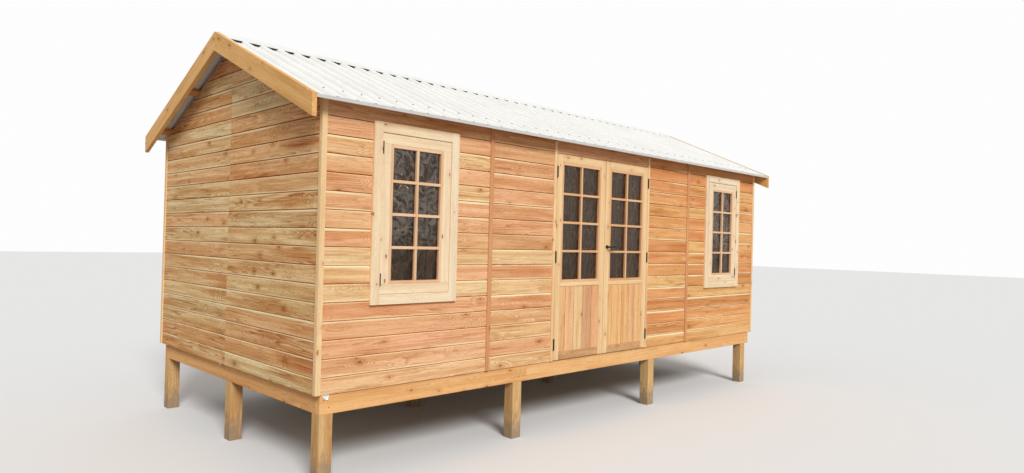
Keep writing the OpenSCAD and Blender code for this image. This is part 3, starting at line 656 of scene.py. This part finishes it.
def lay(pile, xs, ys, zs, along, eased=EASED, place=None, cuts=(), tone=None):
    """Adds a straight board between two stations on each axis, its grain along X, Y or Z."""
    board = bmesh.new()
    low, high = (Vector(corner) for corner in zip(xs, ys, zs))
    size = high - low
    cube(board, at((low + high) / 2), size)
    for point, outward in cuts:
        cut(board, point, outward)
    bmesh.ops.bevel(board, geom=board.edges[:], offset=min(eased, min(size) / 4), offset_type="OFFSET",
                    segments=2, profile=0.5, affect="EDGES", material=-1)
    write_grain(board, along, dice.random() if tone is None else tone)
    if place:
        bmesh.ops.transform(board, matrix=place, verts=board.verts)
    add_to(pile, board)


print("boards are eased by", EASED)

# %% Helpers for pieces
SHELL = "shell"


def finish_piece(name, pile, slot, finish, *replaced, body=SHELL):
    """Turns a pile into a piece that rides on a body and stands for its CAD nodes."""
    mesh = bpy.data.meshes.new(name)
    pile.to_mesh(mesh)
    pile.free()
    mesh.materials.append(finishes[finish])
    piece = stand(name, mesh)
    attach(piece, body)
    if replaced:
        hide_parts(*replaced)
    print(f"{name}: {len(mesh.polygons)} faces")


def dress(finish, *names):
    """Gives CAD nodes a finish and leaves their shape."""
    for name in names:
        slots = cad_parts[name].data.materials
        slots.clear()
        slots.append(finishes[finish])
    print(f"{finish}: {len(names)} CAD nodes")


print("pieces ride on the", SHELL)

# %% [markdown]
# ## Sizes taken from the frame
#
# Almost every station along the walls comes from a CAD node's box, so the boards land exactly where
# the collision solids are.

# %% Measure the frame
BOARD_DEPTH = 0.012
STUD_DEPTH, STUD_WIDTH, STUD_SPACING = 0.042, 0.035, 0.56
NOGGING_RISE = 0.98
WALL_TOP, BOARD_OVER = 2.650, 0.036
PITCH = radians(23.5)
panel_low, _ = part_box("front_panel_plain_left")
wall_foot = panel_low.z
wall_y = -panel_low.y
wall_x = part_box("right_panel_back")[1].x
board_top = WALL_TOP + BOARD_OVER
deck_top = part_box("floor_deck")[1].z
plates = (deck_top, wall_foot + NOGGING_RISE, WALL_TOP - STUD_WIDTH)
ridge_rake = WALL_TOP + wall_y * tan(PITCH)
eave_cut = Vector((0, -sin(PITCH), cos(PITCH)))
print("wall foot", round(wall_foot, 3), "wall top", WALL_TOP, "half length", round(wall_x, 3))

# %% [markdown]
# ## The wall boards
#
# The walls are tongued and grooved boards with a V at each joint. One outline of the board's end is
# drawn as a face and extruded along the wall. The bottom board is ripped narrower, the top one is
# sawn to the roof's slope, and boards beside a window are sawn off at the hole, where the casing
# covers their ends. A wall is laid as if it faced -Y and is then turned to its place.

# %% Helpers for wall boards
RIPPED = 0.018
JOINT_GAP = 0.0022
VEE = 0.0065
TONGUE_TOP = COVER + 0.006
BOARD_OUTLINE = [
    (0.0, VEE), (0.0, COVER - VEE), (VEE, COVER - JOINT_GAP), (VEE, TONGUE_TOP), (0.0096, TONGUE_TOP),
    (0.0096, COVER - JOINT_GAP), (BOARD_DEPTH, COVER - JOINT_GAP), (BOARD_DEPTH, 0.0), (0.0099, 0.0),
    (0.0099, 0.0075), (0.0072, 0.0075), (0.0072, 0.0003),
]
LEAST_BOARD, NARROW_BOARD = 0.004, 0.030
# The top board under the roof gets a browner tone, which is painted shadow of the eave.
EAVE_SHADOW_TONE = 0.9


def around(hole, foot):
    """The cuts that a hole makes in the board at foot: one list for each length that is left."""
    left, right, low, high = hole
    if foot + COVER <= low or foot >= high:
        return [[]]
    lengths = [[(left * X, X)], [(right * X, -X)]]
    between = [(left * X, -X), (right * X, X)]
    if foot < low:
        lengths.append(between + [(low * Z, Z)])
    if foot + COVER > high:
        lengths.append(between + [(high * Z, -Z)])
    return lengths


def clad(pile, start, end, outer, top, place=None, hole=None):
    """Boards a stretch of wall from its foot to a sloping plane and around one hole. Outer is its face."""
    highest = top[0].z
    foot = wall_foot - RIPPED
    while foot < highest - LEAST_BOARD:
        lengths = around(hole, foot) if hole else [[]]
        # The top board takes the tone of painted eave shadow, and the others take a tone at random.
        tone = EAVE_SHADOW_TONE if foot + COVER > highest - NARROW_BOARD else dice.random()
        # Two lengths are two boards, and three are one notched board, which has one grain.
        seed = dice.getstate()
        for cuts in lengths:
            if len(lengths) == 2:
                tone = dice.random()
            else:
                dice.setstate(seed)
            board = push_outline([(start, outer + depth, foot + rise) for depth, rise in BOARD_OUTLINE],
                                 (end - start, 0, 0))
            for point, outward in [(wall_foot * Z, -Z), top, *cuts]:
                cut(board, point, outward)
            if board.faces:
                write_grain(board, "X", tone, foot)
                if place:
                    bmesh.ops.transform(board, matrix=place, verts=board.verts)
                add_to(pile, board)
            else:
                board.free()
        foot += COVER


print("board outline with", len(BOARD_OUTLINE), "points")

# %% Helpers for studs and panels
slope_point = Vector((0, -wall_y, board_top))
outer_face = -wall_y
stud_face = -wall_y + BOARD_DEPTH


def bays_of(length):
    """How many bays of studs fit in a length, and how wide each is."""
    bays = ceil((length - STUD_WIDTH) / STUD_SPACING)
    return bays, (length - STUD_WIDTH) / bays


def stud_wall(pile, start, end, place=None, hole=None):
    """Studs, plates and a row of noggings behind a stretch of boards."""
    ys = (stud_face, stud_face + STUD_DEPTH)
    left, right, low, high = hole or (0, 0, 0, 0)
    bays, step = bays_of(end - start)
    for z in plates:
        for bay in range(bays):
            x = start + bay * step + STUD_WIDTH
            if not (low < z < high and left < x + step / 2 < right):
                lay(pile, (x, x + step - STUD_WIDTH), ys, (z, z + STUD_WIDTH), "X", place=place)
    for bay in range(bays + 1):
        x = start + bay * step
        broken = left < x + STUD_WIDTH / 2 < right
        for zs in ((deck_top, low), (high, WALL_TOP)) if broken else ((deck_top, WALL_TOP),):
            lay(pile, (x, x + STUD_WIDTH), ys, zs, "Z", place=place)


def board_panel(panel, finish, board_xs, stud_xs, place=None, hole=None):
    """The boards and the studs that stand for one panel of the front or the back."""
    boards, studs = new_pile(), new_pile()
    clad(boards, *board_xs, outer_face, (slope_point, eave_cut), place, hole)
    finish_piece(panel.replace("panel", "boards"), boards, "wall_boards", finish, panel)
    stud_wall(studs, *stud_xs, place, hole)
    finish_piece(panel.replace("panel", "studs"), studs, "framing_pine", "framing")


print("studs stand at most", STUD_SPACING, "m apart")

# %% Board the front wall
LINING = 0.020
CASING_WIDTH = 0.075
WINDOW_WIDTH = 0.650
casing_low, casing_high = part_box("window_frames")
header_low, header_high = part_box("front_panel_header")
jamb_low, jamb_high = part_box("door_jambs")
window_out = casing_high.x - CASING_WIDTH
window_in = window_out - WINDOW_WIDTH
window_foot = casing_low.z + CASING_WIDTH
window_head = casing_high.z - CASING_WIDTH
hole_zs = (window_foot - LINING, window_head + LINING)
hole_left, hole_right = ((*span(side, window_in - LINING, window_out + LINING), *hole_zs) for side in (-1, 1))
stud_x = wall_x - BOARD_DEPTH
strip_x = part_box("front_panel_window_right")[0].x
jamb_in, jamb_out = header_high.x, jamb_high.x

board_panel("front_panel_window_left", "cladding", (-wall_x, -strip_x), (-stud_x, -strip_x), hole=hole_left)
board_panel("front_panel_plain_left", "cladding", (-strip_x, -jamb_out), (-strip_x, -jamb_out))
board_panel("front_panel_plain_right", "amber_cladding", (jamb_out, strip_x), (jamb_out, strip_x))
board_panel("front_panel_window_right", "amber_cladding", (strip_x, wall_x), (strip_x, stud_x),
            hole=hole_right)

# %% Fit the board over the doors
STOP_WIDTH, STOP_DEPTH = 0.012, 0.019
door_head = header_low.z + STOP_WIDTH
across = (-jamb_in, jamb_in)
head_board = new_pile()
lay(head_board, across, (outer_face, stud_face), (door_head, board_top), "X", tone=0.75)
lay(head_board, across, (stud_face, stud_face + STUD_DEPTH), (door_head, WALL_TOP), "X", tone=0.4)
lay(head_board, (-jamb_in + STOP_WIDTH, jamb_in - STOP_WIDTH), (header_high.y - STOP_DEPTH, header_high.y),
    (header_low.z, door_head), "X")
finish_piece("head_board", head_board, "wall_boards", "cladding", "front_panel_header")

# %% Board the back wall
turn_back = Matrix.Rotation(pi, 4, "Z")
back_bay = wall_x / 2
for index in range(4):
    start = -wall_x + index * back_bay
    left, right = max(start, -stud_x), min(start + back_bay, stud_x)
    board_panel(f"back_panel_{index + 1}", "cladding", (-start - back_bay, -start), (-right, -left),
                turn_back)

# %% Board the gable walls
PLATE_SHORT, PLATE_BELOW = 0.012, 0.001
stud_y = wall_y - BOARD_DEPTH
room_y = stud_y - STUD_DEPTH
rake_top = Vector((0, 0, ridge_rake))
behind = (-stud_x, -stud_x + STUD_DEPTH)
bays, step = bays_of(room_y)
for side, quarter in (("left", -pi / 2), ("right", pi / 2)):
    place = Matrix.Rotation(quarter, 4, "Z")
    for half in ("front", "back"):
        sign = 1 if (side == "left") == (half == "front") else -1
        slope = (rake_top, Vector((sign * sin(PITCH), 0, cos(PITCH))))
        boards, studs = new_pile(), new_pile()
        clad(boards, *span(sign, 0.0, stud_y), -wall_x, slope, place)
        finish_piece(f"{side}_boards_{half}", boards, "wall_boards", "gable_cladding", f"{side}_panel_{half}")
        for bay in range(bays + 1):
            xs = span(sign, bay * step, bay * step + STUD_WIDTH)
            lay(studs, xs, behind, (deck_top, ridge_rake), "Z", place=place, cuts=[slope])
        for bay in range(bays):
            xs = span(sign, bay * step + STUD_WIDTH, (bay + 1) * step)
            for z in plates:
                lay(studs, xs, behind, (z, z + STUD_WIDTH), "X", place=place)
        xs = span(sign, 0.0, room_y / cos(PITCH) - PLATE_SHORT)
        raked = place @ at(rake_top, sign * PITCH, "Y")
        lay(studs, xs, behind, (-STUD_WIDTH, -PLATE_BELOW), "X", place=raked)
        finish_piece(f"{side}_studs_{half}", studs, "framing_pine", "framing")

# %% [markdown]
# ## Trims, jambs and casings
#
# The corners, the panel joints and the openings are covered with plain planed pine. A corner has
# two boards that meet at it, and the window casings have full side boards with the head and the
# sill between them.

# %% Fit the trims
TRIM, TRIM_OVER = 0.010, 0.030
CORNER_WIDTH = 0.040
STRIP = 0.042
trim_x, trim_y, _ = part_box("corner_trims")[1]
trim_rise = (wall_foot, WALL_TOP + TRIM_OVER)
corners = new_pile()
for sx in (-1, 1):
    for sy in (-1, 1):
        for width, near, far, tone in ((CORNER_WIDTH, trim_y - TRIM, trim_y, 0.3),
                                       (TRIM, trim_y - CORNER_WIDTH, trim_y - TRIM, 0.5)):
            lay(corners, span(sx, trim_x - width, trim_x), span(sy, near, far), trim_rise, "Z", tone=tone)
finish_piece("corner_boards", corners, "trim_pine", "trim", "corner_trims")

strips = new_pile()
for x, sy in ((-strip_x, -1), (strip_x, -1), (-back_bay, 1), (0, 1), (back_bay, 1)):
    lay(strips, centred(x, STRIP), span(sy, wall_y, trim_y), trim_rise, "Z")
finish_piece("cover_strips", strips, "trim_pine", "joint_strip", "joint_strips")

jambs = new_pile()
for side in (-1, 1):
    lay(jambs, span(side, jamb_in, jamb_out), (jamb_low.y, jamb_high.y), (wall_foot, WALL_TOP), "Z")
    lay(jambs, span(side, jamb_in - STOP_WIDTH, jamb_in), (jamb_high.y - STOP_DEPTH, jamb_high.y),
        (deck_top, door_head), "Z")
finish_piece("door_posts", jambs, "trim_pine", "trim", "door_jambs")

# %% Fit the window casings
casings = new_pile()
for side in (-1, 1):
    across = span(side, window_in, window_out)
    for width, ys in ((CASING_WIDTH, (casing_low.y, -wall_y)), (LINING, (-wall_y, casing_high.y))):
        foot, head = window_foot - width, window_head + width
        for near, far in ((window_in - width, window_in), (window_out, window_out + width)):
            lay(casings, span(side, near, far), ys, (foot, head), "Z")
        lay(casings, across, ys, (window_head, head), "X")
        lay(casings, across, ys, (foot, window_foot), "X")
finish_piece("window_casings", casings, "trim_pine", "casing", "window_frames")

# %% [markdown]
# ## Doors and windows
#
# A leaf has full stiles with rails between them, and a sash has full rails with stiles between them.
# A wide bead in a pinker timber holds the glass, nearly flush with the face. The bars between the
# panes are nearly as wide as the bead and stand on both sides of the glass.

# %% Helpers for glazed frames
BAR = 0.022
BEAD = 0.024
BEAD_BACK = 0.0012
SOFT_EDGE = 0.0025
PANE_ROWS = 4


def round_pane(low, high, margin=0.0):
    """The left, right, foot and head of a pane, and of what lies a margin outside it."""
    return low.x - margin, high.x + margin, low.z - margin, high.z + margin


def ring_of_boards(pile, outer, inner, ys, rails_through):
    """Four boards round a hole. Outer and inner are left, right, foot and head."""
    left, right, foot, head = outer
    in_left, in_right, in_foot, in_head = inner
    for xs in ((left, in_left), (in_right, right)):
        lay(pile, xs, ys, (in_foot, in_head) if rails_through else (foot, head), "Z", eased=SOFT_EDGE)
    for zs in ((in_head, head), (foot, in_foot)):
        lay(pile, (left, right) if rails_through else (in_left, in_right), ys, zs, "X", eased=SOFT_EDGE)


def glaze(pile, low, high, front, back):
    """The bead round a pane, and the bars that divide it into rows and two columns."""
    front, back = front + BEAD_BACK, back - BEAD_BACK
    ring_of_boards(pile, round_pane(low, high, BEAD), round_pane(low, high), (front, back), False)
    bar = centred((low.x + high.x) / 2, BAR)
    for ys in ((front, low.y), (high.y, back)):
        lay(pile, bar, ys, (low.z, high.z), "Z", eased=SOFT_EDGE)
        for row in range(1, PANE_ROWS):
            z = low.z + row * (high.z - low.z) / PANE_ROWS
            for xs in ((low.x, bar[0]), (bar[1], high.x)):
                lay(pile, xs, ys, centred(z, BAR), "X", eased=SOFT_EDGE)


print("panes in", PANE_ROWS, "rows")

# %% [markdown]
# ## The door leaves
#
# Below the glass each leaf has five upright boards of uneven width. They are tongued together, and
# one dark board behind them fills the panel, so that painted shade shows in the gaps between them.

# %% Make the two leaves
UPRIGHT_GAP = 0.0025
UPRIGHT_INSET = 0.0020
UPRIGHT_EDGE = 0.0014
SHADE_BACKING_INSET, SHADE_BACKING_EDGE = 0.0016, 0.0005
DOOR_JOINTS = {"left": (-0.566, -0.440, -0.311, -0.184), "right": (0.147, 0.307, 0.428, 0.523)}
DOOR_TONES = {"left": (0.40, 0.58, 0.05, 0.92, 0.75), "right": (0.22, 0.25, 0.30, 0.70, 0.40)}
for side in ("left", "right"):
    body = f"{side}_door"
    low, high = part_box(f"{side}_leaf_frame")
    pane_low, pane_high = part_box(f"{side}_leaf_glass")
    foot_low, foot_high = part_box(f"{side}_leaf_panel")
    ys = (low.y, high.y)
    left, right, foot, head = round_pane(pane_low, pane_high, BEAD)
    leaf = new_pile()
    for xs in ((low.x, left), (right, high.x)):
        lay(leaf, xs, ys, (low.z, high.z), "Z", eased=SOFT_EDGE)
    for zs in ((foot_high.z, foot), (head, high.z)):
        lay(leaf, (left, right), ys, zs, "X", eased=SOFT_EDGE)
    finish_piece(f"{side}_leaf_stiles", leaf, "joinery", "joinery", f"{side}_leaf_frame", body=body)
    foot_rail = new_pile()
    lay(foot_rail, (left, right), ys, (low.z, foot_low.z), "X", eased=SOFT_EDGE)
    finish_piece(f"{side}_foot_rail", foot_rail, "joinery", "foot_rail", body=body)
    beads = new_pile()
    glaze(beads, pane_low, pane_high, *ys)
    finish_piece(f"{side}_leaf_beads", beads, "joinery", "door_bead_painted_shade", body=body)
    uprights = new_pile()
    joints = (foot_low.x, *DOOR_JOINTS[side], foot_high.x)
    for start, end, tone in zip(joints, joints[1:], DOOR_TONES[side]):
        lay(uprights, (start + UPRIGHT_GAP, end - UPRIGHT_GAP), (foot_low.y, foot_high.y),
            (foot_low.z + UPRIGHT_INSET, foot_high.z - UPRIGHT_INSET), "Z", eased=UPRIGHT_EDGE, tone=tone)
    # One dark board behind the uprights is painted shade that shows in the gaps between them.
    shade_backing = new_pile()
    lay(shade_backing, (foot_low.x, foot_high.x), (foot_low.y + SHADE_BACKING_INSET, foot_high.y - SHADE_BACKING_INSET),
        (foot_low.z, foot_high.z), "Z", eased=SHADE_BACKING_EDGE)
    finish_piece(f"{side}_leaf_shade_backing", shade_backing, "wall_boards", "tongue_painted_shade", body=body)
    finish_piece(f"{side}_leaf_uprights", uprights, "wall_boards", "door_boards", f"{side}_leaf_panel",
                 body=body)

# %% Make the window sashes
SASH_PLAY = 0.004
glass_low, glass_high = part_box("window_glass")
sash_low, sash_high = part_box("window_sashes")
stile = sash_high.x - glass_high.x
sashes, sash_beads = new_pile(), new_pile()
for side in (-1, 1):
    left, right = span(side, sash_high.x - WINDOW_WIDTH + SASH_PLAY, sash_high.x)
    low, high = Vector((left + stile, *glass_low.yz)), Vector((right - stile, *glass_high.yz))
    ring_of_boards(sashes, (left, right, sash_low.z, sash_high.z), round_pane(low, high, BEAD),
                   (sash_low.y, sash_high.y), True)
    glaze(sash_beads, low, high, sash_low.y, sash_high.y)
finish_piece("sash_frames", sashes, "joinery", "casing", "window_sashes")
finish_piece("sash_beads", sash_beads, "joinery", "window_bead")
dress("door_pane", "left_leaf_glass", "right_leaf_glass")
dress("window_pane", "window_glass")

# %% [markdown]
# ## The base
#
# The posts and bearers are sawn, treated pine. Each long bearer is in three lengths with a saw gap
# at each joint, and pairs of nails hold the bearers to the posts.

# %% Set the posts and bearers
BEARER = 0.045
POST = 0.105
FIRST_BAY = 1.866
LAST_INSET = 0.082
JOINT_PAST = 0.112
SAW_GAP = 0.0015
SAWN_EDGE = 0.003
POST_EDGE = 0.004
bearer_x, bearer_y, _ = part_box("bearers_long")[1]
post_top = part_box("bearers_long")[0].z
first, last = -bearer_x + POST / 2, bearer_x - LAST_INSET - POST / 2
second = first + FIRST_BAY
columns = [first, second, (second + last) / 2, last]
rows = (-bearer_y + POST / 2, 0, bearer_y - POST / 2)
posts = new_pile()
for x in columns:
    for y in rows:
        lay(posts, centred(x, POST), centred(y, POST), (0, post_top), "Z", eased=POST_EDGE)
finish_piece("square_posts", posts, "treated_pine", "post", "posts")

bearers, cross, middle = new_pile(), new_pile(), new_pile()
zs = (post_top, wall_foot)
ends = [-bearer_x, columns[1] + JOINT_PAST, columns[2] + JOINT_PAST, bearer_x]
for side in (-1, 1):
    for start, end in zip(ends, ends[1:]):
        lay(bearers, (start + SAW_GAP / 2, end - SAW_GAP / 2), span(side, bearer_y - BEARER, bearer_y), zs,
            "X", eased=SAWN_EDGE)
for side in (-1, 1):
    lay(cross, span(side, bearer_x - BEARER, bearer_x), (BEARER - bearer_y, bearer_y - BEARER), zs, "Y",
        eased=SAWN_EDGE)
lay(middle, *zip(*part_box("bearer_middle")), "X", eased=SAWN_EDGE)
finish_piece("long_bearers", bearers, "bearer_pine", "bearer", "bearers_long")
finish_piece("end_bearers", cross, "bearer_pine", "bearer", "bearers_end")
finish_piece("middle_bearer", middle, "bearer_pine", "bearer", "bearer_middle")
dress("purlin", "purlins")
dress("rafter", "rafter_pairs", "floor_joists")
dress("deck", "floor_deck")

# %% [markdown]
# ## Scraps of wall film
#
# Two corners of silvery wall film hang out from under the boards. Each is a fine grid that narrows
# and curls towards its foot and is then given a thickness.

# %% Fold the loose corners of wall film
FILM = 0.0003
FILM_UNDER = 0.001
CORNER_FLAP, CORNER_WIDE, CORNER_DROP = 0.042, 0.070, 0.034
SIDE_FLAP, SIDE_WIDE, SIDE_DROP = 0.17, 0.035, 0.040
CURL_TOP, CURL_DEPTH, CURL_WAVE = 0.0015, 0.006, 0.0015


def film_flap(pile, place, width, drop):
    """A scrap of film that hangs out from under the boards and curls at its foot."""
    flap = bmesh.new()
    bmesh.ops.create_grid(flap, x_segments=8, y_segments=6, size=0.5)
    for vertex in flap.verts:
        across, down = vertex.co.x, 0.5 - vertex.co.y
        narrow = 1.0 - 0.75 * down
        curl = CURL_TOP + CURL_DEPTH * down * down + CURL_WAVE * sin(9 * across + 4 * down) * down
        vertex.co = (across * width * narrow + 0.1 * width * down, -curl, -down * drop)
    bmesh.ops.solidify(flap, geom=flap.faces[:], thickness=FILM)
    bmesh.ops.transform(flap, matrix=place, verts=flap.verts)
    add_to(pile, flap)


film = bmesh.new()
film_top = wall_foot - FILM_UNDER
film_flap(film, at((CORNER_FLAP - bearer_x, -bearer_y, film_top)), CORNER_WIDE, CORNER_DROP)
film_flap(film, at((-bearer_x, SIDE_FLAP, film_top), -pi / 2), SIDE_WIDE, SIDE_DROP)
finish_piece("film_flaps", film, "roof_steel", "foil")

# %% Nail the bearers to the posts
NAIL_RADIUS = 0.0045
NAIL_DOME = 0.35
NAIL_PAIR = ((-0.022, 0.098), (0.020, 0.046))
nails = bmesh.new()


def nail(point, axis):
    """A flat nail head that is turned to its side by a quarter about one axis."""
    bmesh.ops.create_uvsphere(nails, u_segments=10, v_segments=6, radius=NAIL_RADIUS,
                              matrix=at(point, pi / 2, axis) @ Matrix.Diagonal((1, 1, NAIL_DOME, 1)))


for side in (-1, 1):
    for x in columns + [end - JOINT_PAST / 2 for end in ends[1:3]]:
        for aside, rise in NAIL_PAIR:
            nail((x + aside, side * bearer_y, post_top + rise), "X")
for side in (-1, 1):
    for y in rows:
        for aside, rise in NAIL_PAIR:
            nail((side * bearer_x, y + aside, post_top + rise), "Y")
finish_piece("bearer_nails", nails, "black_metal", "nail_head")

# %% [markdown]
# ## The roof
#
# The ribbed sheets, the ridge cap and the eave flashings are the CAD solids. Barge boards are cut
# plumb at both ends, so a pair meets in a mitre at the ridge.

# %% Fix the barge boards
BARGE = 0.035
BARGE_EDGE = 0.0025
OVERRUN = 0.2
barge_low, barge_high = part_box("barge_boards_back")
eave_y, barge_top = barge_high.y, barge_high.z
plumb = barge_low.z - (barge_top - eave_y * tan(PITCH))
zs = (plumb * cos(PITCH), 0)
for half, sy in (("front", -1), ("back", 1)):
    barges = new_pile()
    tilt = at((0, 0, barge_top), -sy * PITCH, "X")
    level = tilt.inverted()
    cuts = [(level @ Vector((0, 0, barge_top)), level.to_3x3() @ Vector((0, -sy, 0))),
            (level @ Vector((0, sy * eave_y, 0)), level.to_3x3() @ Vector((0, sy, 0)))]
    ys = span(sy, -OVERRUN, eave_y / cos(PITCH) + OVERRUN)
    for side in (-1, 1):
        lay(barges, span(side, barge_high.x - BARGE, barge_high.x), ys, zs, "Y", eased=BARGE_EDGE,
            place=tilt, cuts=cuts)
    finish_piece(f"barges_{half}", barges, "barge_pine", "barge", f"barge_boards_{half}")
dress("roof_sheet", "roof_sheet_front", "roof_sheet_back")
dress("roof_steel", "ridge_cap", "eave_trims")

# %% Find the ribs and the slopes
PURLIN = 0.035
SEAT = 0.0004
SHEET_EDGE = 0.001
sheet_low, sheet_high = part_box("roof_sheet_back")
rib_count = floor((2 * sheet_high.x - RIB_FOOT / 2 - SHEET_EDGE) / RIB_PITCH)
ribs = [sheet_low.x + index * RIB_PITCH for index in range(rib_count + 1)]
pan_top = PURLIN + SHEET + SEAT
rib_top = pan_top + RIB_HEIGHT


def on_slope(sy, down, lift):
    """The frame of a point on one slope: X along the ridge, Y down the slope, Z square to the sheet."""
    return at((0, sy * (down * cos(PITCH) + lift * sin(PITCH)),
               ridge_rake - down * sin(PITCH) + lift * cos(PITCH)), -sy * PITCH, "X")


print(len(ribs), "ribs")

# %% [markdown]
# ## Painted shade under the cap, lap and screws
#
# The cap's edge is turned down a little over each pan, and black blocks behind it fill the open gaps
# under the cap with painted shade. They show as dark dashes. Each block has the outline of the pan
# between two ribs. The last sheet laps over the barge boards of the right-hand gable, and screws with
# washers sit on the ribs over the eave purlins.

# %% Fill the gaps under the ridge cap with painted shade
CAP_WING = 0.180
SHADE_BLOCK_DEPTH = 0.025
SHADE_BLOCK_LIFT = 0.0002
SHADE_BLOCK_BACK = 0.008
LIP, LIP_BACK, LIP_THICKNESS, LIP_PLAY = 0.006, 0.001, 0.001, 0.0042
cap_edge = CAP_WING - rib_top * tan(PITCH)
lip_length = RIB_PITCH - RIB_CROWN - LIP_PLAY
shade_block_foot = pan_top + SHADE_BLOCK_LIFT
gap_shade, lips = bmesh.new(), bmesh.new()
for sy in (-1, 1):
    lip = on_slope(sy, cap_edge - LIP_BACK, rib_top)
    for rib in ribs[:-1]:
        cube(lips, lip @ at((rib + RIB_PITCH / 2, 0, -LIP / 2)), (lip_length, LIP_THICKNESS, LIP))
        outline = [(rib + RIB_FOOT / 2, shade_block_foot), (rib + RIB_PITCH - RIB_FOOT / 2, shade_block_foot),
                   (rib + RIB_PITCH - RIB_CROWN / 2, rib_top), (rib + RIB_CROWN / 2, rib_top)]
        block = push_outline([(x, 0, z) for x, z in outline], (0, -sy * SHADE_BLOCK_DEPTH, 0))
        bmesh.ops.transform(block, matrix=on_slope(sy, cap_edge - SHADE_BLOCK_BACK, 0.0), verts=block.verts)
        add_to(gap_shade, block)
finish_piece("cap_gap_shade_blocks", gap_shade, "black_metal", "cap_gap_painted_shade")
finish_piece("cap_lips", lips, "roof_steel", "roof_steel")

# %% Lap the last sheet and drive the roof screws
LAP = 0.0012
overlap = bmesh.new()
start = -rib_top * tan(PITCH)
length = (eave_y - (rib_top + 1.5 * LAP) * sin(PITCH)) / cos(PITCH) - start
for sy in (-1, 1):
    middle = at((barge_high.x - BARGE / 2, sy * length / 2, LAP / 2))
    cube(overlap, on_slope(sy, start, rib_top + LAP / 2) @ middle, (BARGE, length, LAP))
finish_piece("sheet_overlap", overlap, "roof_steel", "roof_steel")

EAVE_PURLIN_INSET = 0.092
WASHER, SCREW_HEAD = (0.0085, 0.0, 0.0015, 12), (0.0045, 0.0015, 0.0060, 6)
eave_purlin = (trim_y - EAVE_PURLIN_INSET) / cos(PITCH)
screws = bmesh.new()
for sy in (-1, 1):
    for x in ribs[1:]:
        screw = on_slope(sy, eave_purlin, rib_top) @ at((x, 0, 0))
        for radius, foot, head, sides in (WASHER, SCREW_HEAD):
            bmesh.ops.create_cone(screws, cap_ends=True, segments=sides, radius1=radius, radius2=radius,
                                  depth=head - foot, matrix=screw @ at((0, 0, (foot + head) / 2)))
finish_piece("roof_screws", screws, "roof_steel", "zinc_screw")

# %% [markdown]
# ## Hinges and lever
#
# Hinges and lever keep their CAD shapes, because they must turn exactly on their pins. They need
# only the black coat.

# %% Dress the metalwork
dress("black_coat", "jamb_hinges", "left_leaf_hinges", "right_leaf_hinges", "window_hinges", "lever_roses",
      "lever_handle")
